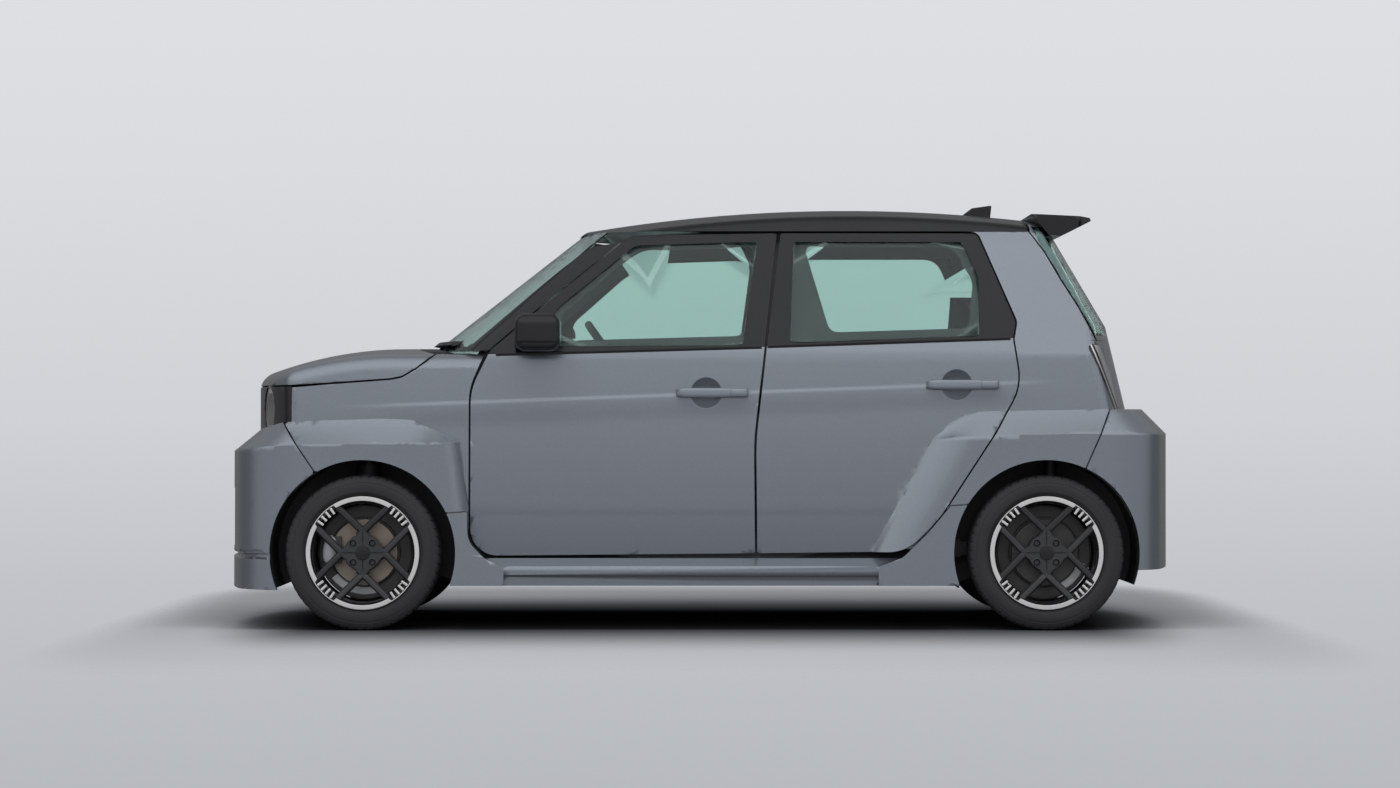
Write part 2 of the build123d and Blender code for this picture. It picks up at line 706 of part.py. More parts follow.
def heavy_blocks():
    """The drive motor as one block in the nose and the battery as one block under the floor."""
    motor = slab(front - 300, front + 200, -280, 280, subframe_top_z + seat_gap, 640)
    battery = slab(rear + 420, front - 480, -540, 540, 160, 270 - seat_gap)
    return [motor, battery]


def front_suspension():
    """Subframe, lower arms, struts and the brackets that hold the uprights."""
    pieces = [slab(front - 160, front + 150, -330, 330, 196, subframe_top_z)]
    for side in (1, -1):
        arm = slab(front - 30, front + 30, 320, steer_y - 20, arm_top_z - 20, arm_top_z)
        arm += slab(front - 12, front + 12, steer_y - 30, steer_y, arm_top_z - 20, arm_top_z)
        arm += rod((front, steer_y, arm_top_z - 20), (front, steer_y, arm_top_z), ball_joint_radius)
        strut = rod((front, strut_y, 300), (front, strut_y, 636.7), 26)
        spring = rod((front, strut_y, 470), (front, strut_y, 610), 46)
        bracket = slab(front - 12, front + 12, strut_y, steer_y, bracket_foot_z, bracket_foot_z + 22)
        bracket += rod((front, steer_y, bracket_foot_z), (front, steer_y, bracket_foot_z + 22), ball_joint_radius)
        corner = arm + strut + spring + bracket
        pieces.append(corner if side == 1 else mirror(corner, about=Plane.XZ))
    return fuse(pieces)


def knuckle():
    """Left steering knuckle: upright, steering arm, stub axle and brake caliper."""
    top = bracket_foot_z - seat_gap
    low = arm_top_z + seat_gap
    upright = slab(front - 40, front + 40, steer_y - 14, steer_y + 8, low, top)
    arm = slab(front - 140, front - 35, steer_y - 14, steer_y + 4, 236, 256)
    stub = rod((front, steer_y, tyre_radius), (front, stub_end_y, tyre_radius), stub_radius)
    reach = slab(front + 35, front + 130, steer_y - 14, steer_y + 2, 250, 330)
    caliper = slab(front + 84, front + 146, steer_y - 14, disc_y + 32, 245, 345)
    slot = arch(front, disc_radius + 6, disc_y - disc_thickness / 2 - 6, disc_y + disc_thickness / 2 + 6)
    return upright + arm + stub + ((reach + caliper) - slot - arch(front, hub_radius + 8, disc_y, 900))


def wheel(x):
    """Left wheel: one turned section of barrel, lips, hub and brake disc, with the spokes cut from its face."""
    inner = rim_barrel_radius - rim_wall
    back = rim_face_y - spoke_depth
    # Columns: y, radius
    rows = [(disc_y - disc_thickness / 2, stub_radius + stub_clearance), (disc_y - disc_thickness / 2, disc_radius),
            (disc_y + disc_thickness / 2, disc_radius), (disc_y + disc_thickness / 2, hub_radius), (back, hub_radius),
            (back, inner), (wheel_y - 88, inner), (wheel_y - 88, rim_radius - 4), (wheel_y - 80, rim_radius - 4),
            (wheel_y - 80, rim_barrel_radius), (wheel_y + 80, rim_barrel_radius), (wheel_y + 80, rim_radius),
            (rim_face_y + 8, rim_radius), (rim_face_y + 8, inner), (rim_face_y, inner - 2),
            (rim_face_y, hub_radius), (rim_face_y - 4, hub_radius - 6), (rim_face_y - 4, 0),
            (stub_end_y + 1, 0), (stub_end_y + 1, stub_radius + stub_clearance)]
    section = make_face(Polyline(*[(x, y, radius) for y, radius in rows], close=True))
    axle = Axis((x, 0, tyre_radius), (0, 1, 0))
    body = (Pos(0, 0, tyre_radius) * revolve(section, Axis((x, 0, 0), (0, 1, 0)), 360)).rotate(axle, spoke_angle)
    body -= spoke_windows(x)
    for turn in range(4):
        angle = radians(45 + 90 * turn)
        hole = Pos(x + bolt_circle / 2 * cos(angle), back - 10, tyre_radius + bolt_circle / 2 * sin(angle))
        body -= hole * Rot(-90, 0, 0) * Cylinder(bolt_hole_radius, 60, align=(Align.CENTER, Align.CENTER, Align.MIN))
    return body


def spoke_windows(x):
    """The eight openings between the spokes: four wide between a pair's legs, four narrow on the diagonals."""
    cuts = []
    for turn in range(4):
        for middle, half_angle in ((90 * turn, 24.5), (90 * turn + 45, 13.5)):
            points = [(x + spoke_inner_radius * cos(radians(middle)), 0,
                       tyre_radius + spoke_inner_radius * sin(radians(middle)))]
            for step in (-half_angle, 0, half_angle):
                angle = radians(middle + step)
                reach = window_outer_radius if step == 0 else window_outer_radius - 4
                points.append((x + reach * cos(angle), 0, tyre_radius + reach * sin(angle)))
            area = make_face(FilletPolyline(*points, radius=[7, 5, 0, 5], close=True))
            cuts.append(across(area, rim_face_y - spoke_depth - 5, rim_face_y + 5))
    return fuse(cuts)


def tyre(x):
    """A tyre as one turned section with rounded shoulders, seated between the flanges."""
    half = tyre_width / 2
    bead = wheel_y + 80 - seat_gap
    bead_radius = rim_radius + 2
    points = [(x, wheel_y - 80 + seat_gap, rim_barrel_radius + seat_gap), (x, wheel_y - 80 + seat_gap, bead_radius),
              (x, wheel_y - half, rim_radius + 24), (x, wheel_y - half, tyre_radius - 26),
              (x, wheel_y - half + 16, tyre_radius), (x, wheel_y + half - 16, tyre_radius),
              (x, wheel_y + half, tyre_radius - 26), (x, wheel_y + half, rim_radius + 24),
              (x, bead, bead_radius), (x, bead, rim_barrel_radius + seat_gap)]
    radii = [0, 6, 20, 20, 14, 14, 20, 20, 6, 0]
    section = make_face(FilletPolyline(*points, radius=radii, close=True))
    return Pos(0, 0, tyre_radius) * revolve(section, Axis((x, 0, 0), (0, 1, 0)), 360)


def rear_axle():
    """Torsion beam with trailing arms, stub axles and dampers."""
    pieces = [rod((rear + 150, -470, 300), (rear + 150, 470, 300), 34)]
    for side in (1, -1):
        arm = slab(rear - 60, rear + 330, 470, 510, 270, 320)
        hub = arch(rear, 45, 505, 646)
        stub = rod((rear, 640, tyre_radius), (rear, stub_end_y, tyre_radius), stub_radius)
        damper = rod((rear - 40, 480, 300), (rear - 40, 480, 631.7), 24)
        mount = slab(rear + 300, rear + 352 - seat_gap, 400, 512, 262, 330)
        corner = arm + hub + stub + damper + mount
        pieces.append(corner if side == 1 else mirror(corner, about=Plane.XZ))
    return fuse(pieces)


def front_seats():
    """Two front seats, each a cushion, a back and a headrest in one body."""
    seat_rows = [(split + 340, 340, 20), (split + 350, 500, 40), (split + 300, 560, 20), (split - 30, 510, 60),
                 (split - 130, 1085, 30), (split - 222, 1105, 30), (split - 170, 480, 60), (split - 150, 340, 20)]
    seats = []
    for side in (1, -1):
        low, high = sorted((side * 110, side * 580))
        body = across(outline(seat_rows), low, high)
        head_low, head_high = sorted((side * 230, side * 470))
        head = across(outline([(split - 140, 1080, 0), (split - 142, 1280, 30), (split - 240, 1286, 30),
                               (split - 215, 1080, 0)]), head_low, head_high)
        low, high = sorted((side * 160, side * 530))
        base = slab(split - 140, split + 320, low, high, 290 + seat_gap, 342)
        seats.append(body + head + base)
    return seats


def rear_bench():
    """Rear bench: one cushion and one back between the wheelhouses."""
    cushion = across(outline([(rear + 760, 330, 20), (rear + 770, 500, 40), (rear + 720, 560, 30),
                              (rear + 385, 520, 20), (rear + 385, 330, 10)]), -590, 590)
    back_rows = [(rear + 440, 430, 20), (rear + 300, 980, 40), (rear + 210, 990, 30), (rear + 340, 421, 0)]
    back = across(outline(back_rows), -415, 415)
    wings = [across(outline([(rear + 370, 680, 10), (rear + 300, 980, 40), (rear + 210, 990, 30),
                             (rear + 262, 680, 10)]), low, high) for low, high in ((-580, -400), (400, 580))]
    legs = slab(rear + 440, rear + 700, -500, 500, 290 + seat_gap, 340)
    return fuse([cushion, back, legs] + wings)


def dashboard():
    """Dashboard with an instrument hood, a shelf to the windscreen and the steering column."""
    face_x = front - 443 - seat_gap
    rows = [(face_x, 690, 10), (face_x, 985, 4), (front - 560, 1002, 30), (front - 700, 985, 60),
            (front - 760, 900, 40), (front - 730, 760, 60), (front - 620, 680, 40)]
    body = across(outline(rows), -595, 595)
    shelf = slab(front - 470, front - 330, -540, 540, 986, 996)
    column = rod(Vector(*steering_hub) - Vector(*steering_axis) * column_length, steering_hub, 32)
    return body + shelf + column


def steering_wheel():
    """Rim, three spokes and a hub about the column's axis."""
    plane = Plane(origin=steering_hub, x_dir=(0, 1, 0), z_dir=steering_axis)
    rim = plane * Pos(0, 0, 30) * Torus(178, 15)
    hub = plane * Pos(0, 0, 1) * Cylinder(48, 46, align=(Align.CENTER, Align.CENTER, Align.MIN))
    spokes = [plane * Pos(0, 0, 30) * Rot(0, 0, turn) * Pos(105, 0, 0) * Box(150, 34, 14) for turn in (0, 180, 270)]
    return fuse([rim, hub] + spokes)


def wipers():
    """Two windscreen wipers parked along the foot of the glass, each on a short spindle."""
    band = screen_block(-14) - screen_block(glass_inset - seat_gap)
    arms = []
    for low, high, spindle_y in ((-560, -60, -120), (0, 480, 400)):
        blade = band & slab(front - 500, front, low, high, 1058, 1072)
        foot_x = front - 204 - 1.285 * 27 - spindle_y ** 2 / (2 * screen_foot_radius)
        spindle = rod((foot_x + 12, spindle_y, 1000), (foot_x + 12, spindle_y, 1064), 8)
        spindle -= bonnet_block(-seat_gap)
        spindle -= screen_block(glass_inset - seat_gap)
        arms.append(blade + spindle)
    return arms


body_side = side_block()
body_side_clear = side_block(-seat_gap)
side_lip = side_block(door_lip)
side_door = side_block(door_wall)
upper = upper_body()
capped_side = body_side & (upper + slab(tail_x, nose_x, -900, 900, underside_z - 20, belt_z))
upper_wall = upper_body(roof_wall)
lower = lower_body()
lower_wall = lower_body(panel_wall)
tail = tail_body()
tail_wall = tail_body(door_wall - 5)
tail_proud = tail_body(-seat_gap)
# Columns: z, x step, y step, nose tilt in degrees
front_levels = [(underside_z, 0, 0, 0), (front_shelf_z, 0, 0, 6),
                (front_shelf_z + shelf_rise, shelf_step_x, shelf_step_y, 14)]
rear_levels = [(underside_z, 0, 0, 0), (rear_shelf_z, 0, 0, 0),
               (rear_shelf_z + shelf_rise, shelf_step_x, shelf_step_y, 0)]
front_wide = wide_block(front_levels)
front_wide_inner = wide_block(front_levels, bumper_wall)
rear_wide = wide_block(rear_levels)
rear_wide_inner = wide_block(rear_levels, bumper_wall)
arches = [arch(x, arch_radius, 380, 900) for x in (front, rear)]
ramp_line = Vector(-226, 0, 412).normalized()
ramp_fall = Vector(-412, 0, -226).normalized() * 105 + Vector(0, 52, 0)
ramp = Plane(origin=(rear + 642, skin_half_width - 2, 293), x_dir=ramp_line, z_dir=ramp_line.cross(ramp_fall))


def main():
    """Build every node and write it."""
    ahead = (front_wide & across(outline(front_flare_rows), 600, 900)) - body_side_clear - arches[0]
    behind = (rear_wide & across(outline(rear_flare_rows), 600, 900)) - arches[1]
    behind = split_by(behind, ramp, (rear, 0, tyre_radius))
    rear_door_area = outline(rear_door_rows)
    door_flare = behind - body_side
    fixed_flare = (behind & slab(tail_x, rear + 440, 0, 900, 200, 900)) - tail_proud
    fixed_flare -= across(offset(rear_door_area, amount=shut_gap), 300, 900)

    front_door = door_with_handle(door(front_door_rows, front_window_rows), *front_handle)
    rear_door = door_with_handle(door(rear_door_rows, rear_window_rows, door_flare), *rear_handle)
    gate, gate_glass = tailgate()
    left_pieces = {
        "door_front": front_door,
        "door_rear": rear_door,
        "glass_front": door_glass(front_window_rows),
        "glass_rear": door_glass(rear_window_rows),
        "door_mirror": door_mirror(),
        "knuckle": knuckle(),
        "wheel_front": wheel(front),
        "wheel_rear": wheel(rear),
        "tyre_front": tyre(front),
        "tyre_rear": tyre(rear),
    }
    for name, piece in left_pieces.items():
        for side, shape in zip(("left", "right"), both(piece)):
            save(f"{name}_{side}", shape)
    pairs = {
        "wings": front_wing(),
        "quarters": quarter(),
        "side_frames": side_frame(),
        "front_pillars": front_pillar(),
        "side_skirts": skirt(),
        "tail_lamps": tail_lamp(),
    }
    for name, piece in pairs.items():
        save(name, Compound(both(piece)))
    save("arch_flares", Compound(both(ahead) + both(fixed_flare)))
    save("headlamps", Compound(headlamps()))
    save("powertrain", Compound(heavy_blocks()))
    save("front_seats", Compound(front_seats()))
    save("wipers", Compound(wipers()))
    singles = {
        "bonnet": bonnet(),
        "cowl": cowl(),
        "nose_panel": nose_panel(),
        "front_bumper": front_bumper(),
        "grille": grille(),
        "rear_bumper": rear_bumper(),
        "roof": roof(),
        "antenna_fin": antenna_fin(),
        "windscreen": windscreen(),
        "tailgate": gate,
        "rear_glass": gate_glass,
        "spoiler": spoiler(),
        "front_structure": front_structure(),
        "floor": floor(),
        "front_suspension": front_suspension(),
        "rear_axle": rear_axle(),
        "rear_bench": rear_bench(),
        "dashboard": dashboard(),
        "steering_wheel": steering_wheel(),
    }
    for name, piece in singles.items():
        save(name, piece)


main()
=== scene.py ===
import json
import math
import bmesh
import bpy
import numpy as np
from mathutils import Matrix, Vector


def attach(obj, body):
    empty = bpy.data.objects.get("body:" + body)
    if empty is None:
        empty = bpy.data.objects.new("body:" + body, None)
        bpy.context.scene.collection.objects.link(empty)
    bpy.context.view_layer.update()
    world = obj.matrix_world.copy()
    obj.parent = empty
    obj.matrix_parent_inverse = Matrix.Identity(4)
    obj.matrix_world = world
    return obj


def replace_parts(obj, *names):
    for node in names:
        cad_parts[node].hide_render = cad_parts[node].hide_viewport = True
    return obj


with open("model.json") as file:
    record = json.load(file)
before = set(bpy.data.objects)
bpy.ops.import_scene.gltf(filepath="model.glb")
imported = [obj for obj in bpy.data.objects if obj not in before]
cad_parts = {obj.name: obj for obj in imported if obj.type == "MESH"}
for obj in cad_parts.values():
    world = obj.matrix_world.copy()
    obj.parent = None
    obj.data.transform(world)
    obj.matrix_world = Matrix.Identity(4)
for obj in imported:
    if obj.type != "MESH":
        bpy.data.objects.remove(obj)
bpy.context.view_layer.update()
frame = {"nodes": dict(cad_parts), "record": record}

collection = bpy.context.scene.collection
frontX, rearX, hubZ = 1.243, -1.277, 0.286  # the axles along the car, and their height


# Shader maths: a socket that takes part in Python expressions
class Wire:
    def __init__(self, tree, socket=None):
        self.tree = tree
        self.socket = socket

    # any node: its type, what is set on it first, its sockets by name or number, and the output wanted
    def add(self, kind, settings=None, sockets=None, output=0):
        node = self.tree.nodes.new("ShaderNode" + kind)
        for name, value in (settings or {}).items():
            if name == "stops":
                ramp = node.color_ramp
                while len(ramp.elements) < len(value):
                    ramp.elements.new(0.5)
                for element, (place, colour) in zip(ramp.elements, value):
                    element.position = place
                    element.color = (*colour, 1.0)
            else:
                setattr(node, name, value)
        for name, value in (sockets or {}).items():
            if isinstance(value, Wire):
                self.tree.links.new(value.socket, node.inputs[name])
            else:
                node.inputs[name].default_value = value
        return Wire(self.tree, node.outputs[output])

    def maths(self, operation, *values):
        return self.add("Math", {"operation": operation}, dict(enumerate(values)))

    def apply(self, operation, *more):
        return self.maths(operation, self, *more)

    def __add__(self, other): return self.maths("ADD", self, other)
    def __radd__(self, other): return self.maths("ADD", other, self)
    def __sub__(self, other): return self.maths("SUBTRACT", self, other)
    def __rsub__(self, other): return self.maths("SUBTRACT", other, self)
    def __mul__(self, other): return self.maths("MULTIPLY", self, other)
    def __rmul__(self, other): return self.maths("MULTIPLY", other, self)
    def __truediv__(self, other): return self.maths("DIVIDE", self, other)

    def smooth(self, low, high):
        ends = {"Value": self, "From Min": low, "From Max": high}
        return self.add("MapRange", {"interpolation_type": "SMOOTHSTEP"}, ends)

    def mix(self, colourA, colourB):
        return self.add("Mix", {"data_type": "RGBA"}, {0: self, 6: colourA, 7: colourB}, output=2)


# Object coordinates: the whole place, and its x, y and z
def axes(wire):
    place = wire.add("TexCoord", output=3)
    split = place.add("SeparateXYZ", None, {0: place}).socket.node
    return place, *(Wire(wire.tree, split.outputs[axis]) for axis in range(3))


def noise(place, scale, detail=2.0, roughness=0.5):
    sockets = {"Vector": place, "Scale": scale, "Detail": detail, "Roughness": roughness}
    return place.add("TexNoise", None, sockets)


# A material: constants go on the shader's own sockets, what varies comes from build(start)
def finish(name, values, build=None):
    material = bpy.data.materials.new(name)
    material.use_nodes = True
    tree = material.node_tree
    shader = tree.nodes["Principled BSDF"]
    for socket, value in values.items():
        shader.inputs[socket].default_value = value
    if build:
        for socket, wire in build(Wire(tree)).items():
            tree.links.new(wire.socket, shader.inputs[socket])
    return material


def bump(wire, height, strength, distance):
    return wire.add("Bump", None, {"Strength": strength, "Distance": distance, "Height": height})


# Body paint: fine metal flakes in a grey base, a slow haze in its gloss, and a trace of orange peel
paintLook = {"base": (0.190, 0.213, 0.243, 1), "flake": (0.240, 0.265, 0.298, 1), "flakeScale": 900.0,
             "flakeFrom": (0.45, 0.75), "hazeScale": 1.2, "rough": (0.27, 0.06), "peelScale": 160.0, "peel": 0.02}


def paintNodes(start):
    place = axes(start)[0]
    flake = noise(place, paintLook["flakeScale"], 0.0).smooth(*paintLook["flakeFrom"])
    haze = noise(place, paintLook["hazeScale"], 2.0)
    colour = flake.mix(paintLook["base"], paintLook["flake"])
    peel = noise(place, paintLook["peelScale"], 1.0)
    low, spread = paintLook["rough"]
    return {"Base Color": colour, "Roughness": haze * spread + low,
            "Normal": bump(start, peel, paintLook["peel"], 0.001)}


# A colour made darker or lighter by a share
def toned(colour, share):
    return tuple(min(1.0, c * share) for c in colour[:3]) + (1.0,)


# A grained finish: grain size, lowest and highest roughness, depth of the grain, and colour
def grainNodes(scale, low, high, depth, base):
    def build(start):
        place = axes(start)[0]
        grain = noise(place, scale, 3.0, 0.6)
        tone = noise(place, 6.0, 3.0)
        return {"Base Color": tone.mix(toned(base, 0.75), toned(base, 1.25)),
                "Roughness": grain * (high - low) + low, "Normal": bump(start, grain, depth, 0.001)}
    return build


# Seat cloth: warp and weft waves multiplied, mixed with a slow change of tone
fabricLook = {"warp": (1500.0, 900.0), "weft": 1700.0, "dark": (0.035, 0.037, 0.042, 1),
              "light": (0.075, 0.078, 0.085, 1), "depth": 0.25}


def weaveNodes(start):
    place, x, y, z = axes(start)
    look = fabricLook
    warp = (x * look["warp"][0] + z * look["warp"][1]).apply("SINE")
    weft = (y * look["weft"]).apply("SINE")
    weave = warp * weft * 0.5 + 0.5
    tone = noise(place, 9.0, 3.0)
    return {"Base Color": (tone * 0.5 + weave * 0.4).mix(look["dark"], look["light"]),
            "Normal": bump(start, weave, look["depth"], 0.002)}


# Turned or brushed metal: grain stretched along y
def brushedNodes(base, low, high):
    def build(start):
        place = axes(start)[0]
        stretched = place.add("Mapping", None, {"Vector": place, "Scale": (30.0, 600.0, 30.0)})
        grain = noise(stretched, 6.0, 2.0)
        tone = noise(place, 12.0, 2.0)
        return {"Base Color": tone.mix(toned(base, 0.85), toned(base, 1.0)), "Roughness": grain * (high - low) + low}
    return build


# Tinted glass with a barely uneven tone
def glassNodes(tint):
    def build(start):
        place = axes(start)[0]
        return {"Base Color": noise(place, 3.0, 1.0).mix(toned(tint, 0.98), toned(tint, 1.0))}
    return build


looks = {
    "paint": finish("bodyPaint", {"Metallic": 0.6, "Coat Weight": 1.0, "Coat Roughness": 0.04}, paintNodes),
    "black": finish("blackPaint", {"Coat Weight": 0.25, "Coat Roughness": 0.03, "Specular IOR Level": 0.3},
                    grainNodes(500.0, 0.22, 0.30, 0.02, (0.006, 0.0065, 0.007))),
    "gloss": finish("glossBlack", {"Coat Weight": 0.2, "Coat Roughness": 0.05, "Specular IOR Level": 0.3},
                    grainNodes(300.0, 0.14, 0.24, 0.03, (0.009, 0.009, 0.010))),
    "plastic": finish("darkPlastic", {}, grainNodes(900.0, 0.50, 0.66, 0.25, (0.028, 0.029, 0.031))),
    "shell": finish("shellPaint", {"Coat Weight": 0.3},
                    grainNodes(60.0, 0.45, 0.6, 0.08, (0.05, 0.055, 0.065))),
    "cabin": finish("cabinPlastic", {}, grainNodes(700.0, 0.55, 0.7, 0.25, (0.035, 0.037, 0.042))),
    "fabric": finish("seatFabric", {"Sheen Weight": 0.3, "Roughness": 0.9}, weaveNodes),
    "rubber": finish("tyreRubber", {}, grainNodes(400.0, 0.62, 0.8, 0.2, (0.022, 0.022, 0.023))),
    "iron": finish("castIron", {"Metallic": 0.8}, grainNodes(200.0, 0.5, 0.7, 0.3, (0.12, 0.115, 0.11))),
    "steel": finish("coatedSteel", {"Metallic": 0.5}, grainNodes(120.0, 0.4, 0.6, 0.15, (0.06, 0.062, 0.065))),
    "alloy": finish("darkAlloy", {"Metallic": 0.6, "Coat Weight": 0.4, "Coat Roughness": 0.1},
                    grainNodes(500.0, 0.32, 0.42, 0.05, (0.03, 0.031, 0.034))),
    "spoke": finish("spokePaint", {"Metallic": 0.35, "Coat Weight": 0.25, "Coat Roughness": 0.15},
                    grainNodes(500.0, 0.36, 0.46, 0.05, (0.032, 0.033, 0.035))),
    "disc": finish("wornDisc", {"Metallic": 0.6}, brushedNodes((0.30, 0.255, 0.215), 0.35, 0.5)),
    "cast": finish("castSilver", {"Metallic": 0.5}, grainNodes(160.0, 0.4, 0.55, 0.3, (0.50, 0.51, 0.52))),
    "machined": finish("machinedAlloy", {"Metallic": 0.7, "Coat Weight": 0.3},
                       brushedNodes((0.80, 0.79, 0.77), 0.3, 0.42)),
    "motor": finish("castHousing", {"Metallic": 0.7}, grainNodes(90.0, 0.45, 0.6, 0.3, (0.3, 0.3, 0.31))),
    "window": finish("windowGlass", {"Transmission Weight": 1.0, "Roughness": 0.0, "IOR": 1.45},
                     glassNodes((0.66, 0.86, 0.80))),
    "lens": finish("lampLens", {"Transmission Weight": 1.0, "Roughness": 0.0, "IOR": 1.49},
                   glassNodes((0.96, 0.97, 0.98))),
    "tailLens": finish("tailLens", {"Transmission Weight": 0.7, "Roughness": 0.06, "IOR": 1.49},
                       glassNodes((0.55, 0.50, 0.52))),
    "clear": finish("silverReflector", {"Metallic": 0.6, "Coat Weight": 1.0, "Coat Roughness": 0.02},
                    grainNodes(120.0, 0.12, 0.25, 0.05, (0.66, 0.66, 0.66))),
    "unit": finish("lampUnit", {"Coat Weight": 1.0, "Coat Roughness": 0.02},
                   grainNodes(120.0, 0.2, 0.3, 0.05, (0.07, 0.07, 0.07))),
    "glow": finish("lampRing", {"Coat Weight": 1.0, "Coat Roughness": 0.02},
                   grainNodes(120.0, 0.25, 0.35, 0.02, (0.62, 0.62, 0.58))),
    "leather": finish("rimLeather", {}, grainNodes(260.0, 0.4, 0.55, 0.35, (0.03, 0.03, 0.031))),
}
print("materials made")


# Surfaces: a grid of points in rows and columns, joined into faces, round either way where asked
def gridMesh(points, roundRows=False, roundColumns=False, flip=False):
    rows, columns = points.shape[:2]
    number = np.arange(rows * columns).reshape(rows, columns)
    if roundRows:
        number = np.vstack([number, number[:1]])
    if roundColumns:
        number = np.hstack([number, number[:, :1]])
    corners = number[:-1, :-1], number[1:, :-1], number[1:, 1:], number[:-1, 1:]
    quads = np.stack(corners, axis=-1).reshape(-1, 4)
    if flip:
        quads = quads[:, ::-1]
    return points.reshape(-1, 3), quads


# The same from x, y and z, each spread to the full grid
def surface(x, y, z, **how):
    return gridMesh(np.stack(np.broadcast_arrays(x, y, z), axis=-1), **how)


# Superellipse term: sign(wave) * |wave|^power
def rounded(wave, power):
    return np.sign(wave) * np.abs(wave) ** power


# An object of the mesh that rides on a body, in its material slot
def stand(name, mesh, body):
    piece = bpy.data.objects.new(name, mesh)
    collection.objects.link(piece)
    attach(piece, body)
    return piece


# Smooth shading, with edges kept sharp beyond an angle in degrees
def smoothMesh(mesh, angle):
    mesh.polygons.foreach_set("use_smooth", np.ones(len(mesh.polygons), bool))
    mesh.set_sharp_from_angle(angle=math.radians(angle))


# One object from several grids; each grid brings its own look
def makePiece(name, grids, body, angle=32.0, lookNames=("paint",)):
    spots, faces, kinds, shift = [], [], [], 0
    for (points, quads), kind in grids:
        spots.append(points)
        faces.append(quads + shift)
        kinds.append(np.full(len(quads), lookNames.index(kind)))
        shift += len(points)
    mesh = bpy.data.meshes.new(name)
    mesh.from_pydata(np.concatenate(spots).tolist(), [], np.concatenate(faces).tolist())
    for look in lookNames:
        mesh.materials.append(looks[look])
    mesh.polygons.foreach_set("material_index", np.concatenate(kinds).astype(np.int32))
    tidy = bmesh.new()
    tidy.from_mesh(mesh)
    bmesh.ops.remove_doubles(tidy, verts=tidy.verts, dist=0.00001)
    bmesh.ops.dissolve_degenerate(tidy, edges=tidy.edges, dist=0.000005)
    tidy.to_mesh(mesh)
    tidy.free()
    smoothMesh(mesh, angle)
    return stand(name, mesh, body)


# s^2 * (3 - 2 s), s from 0 at low to 1 at high
def smoothStep(value, low, high):
    share = np.clip((value - low) / (high - low), 0.0, 1.0)
    return share * share * (3 - 2 * share)


# The body side as heights above the floor: an arc to the shoulder, then the glass leaning in
sideShape = {"half": 0.737, "tuck": 0.015, "widestZ": 0.600, "shoulderZ": 1.017, "beltZ": 1.033,
             "sweepX": -0.050, "sweep": 40.0, "ledgeY": 0.706, "lean": 0.29687, "paintLean": 0.3211}
crease = {"slope": -0.03599, "atZero": 0.8723, "height": 0.0030, "half": 0.0085, "fall": 0.10,
          "rear": (-1.36, -1.05), "nose": (1.40, 0.95)}
belt = {"front": (1.0404, -0.0274), "rear": (1.0405, -0.0339)}


# The side up to the shoulder, half - tuck * rise^2, and what the plan takes off it, (x - sweepX)^2 / (2 * sweep)
def lowSide(x, z):
    look = sideShape
    rise = (z - look["widestZ"]) / (look["shoulderZ"] - look["widestZ"])
    return look["half"] - look["tuck"] * rise ** 2, (x - look["sweepX"]) ** 2 / (2 * look["sweep"])


# Half the width at a place: the low side, a ledge at 45 degrees, then the glass, less the sweep
def skinY(x, z):
    low, sweep = lowSide(x, z)
    ledge = sideShape["half"] - sideShape["tuck"] - (z - sideShape["shoulderZ"])
    high = sideShape["ledgeY"] - sideShape["lean"] * (z - sideShape["beltZ"])
    return np.where(z < sideShape["shoulderZ"], low, np.where(z < sideShape["beltZ"], ledge, high)) - sweep


# The painted side carried on up to the belt trim, rolling over at the shoulder
def paintY(x, z):
    low, sweep = lowSide(x, np.minimum(z, sideShape["shoulderZ"]))
    over = np.maximum(z - sideShape["shoulderZ"] + 0.020, 0.0)
    roll = np.where(over < 0.040, over ** 2 / 0.080, over - 0.020)
    return low - sweep - sideShape["paintLean"] * roll


# The crease stands out by height at its line, from half above it, and falls back to the side over fall below
def creaseLift(x, z):
    off = z - (crease["atZero"] + crease["slope"] * x)
    out = smoothStep(-off, -crease["half"], crease["half"])
    back = smoothStep(-off, crease["half"], crease["fall"])
    fade = smoothStep(x, *crease["rear"]) * (1 - smoothStep(x, crease["nose"][1], crease["nose"][0]))
    return crease["height"] * out * (1 - back) * fade


# The flares stand off the side: rise = (full - side) * f * g, where f = 1 - (1 - s)^2 with s from the edge
# line to the end of the ramp, and g = t^power with t from the top crease down to the lower crease
flares = {
    "front": {"top": [(0.886, 0.698), (0.949, 0.734), (1.014, 0.761), (1.068, 0.778), (1.179, 0.782),
                      (1.377, 0.776), (1.508, 0.771)],
              "low": [(0.886, 0.694), (1.192, 0.690), (1.540, 0.683)],
              "edge": (0.886, 0.698, 0.1328), "ramp": 0.055, "sign": 1},
    "rear": {"top": [(-1.530, 0.822), (-1.144, 0.811), (-1.032, 0.807), (-0.953, 0.781), (-0.860, 0.707)],
             "low": [(-1.530, 0.728), (-1.192, 0.722), (-0.857, 0.703)],
             "edge": (-0.861, 0.705, -0.5485), "ramp": 0.150, "sign": -1}}
flareForm = {"full": 0.786, "power": 1.2, "rings": (0.0, 0.06, 0.13, 0.2, 0.3, 0.4, 0.5, 0.65, 0.8, 1.0)}


def flareRise(x, z, end):
    look = flares[end]
    edgeX, edgeZ, slant = look["edge"]
    s = np.clip(look["sign"] * (x - (edgeX + slant * (z - edgeZ))) / look["ramp"], 0.0, 1.0)
    top, low = (np.interp(x, *np.array(look[line]).T) for line in ("top", "low"))
    t = np.clip((top - z) / (top - low), 0.0, 1.0)
    return (flareForm["full"] - skinY(x, z)) * (1 - (1 - s) ** 2) * t ** flareForm["power"]


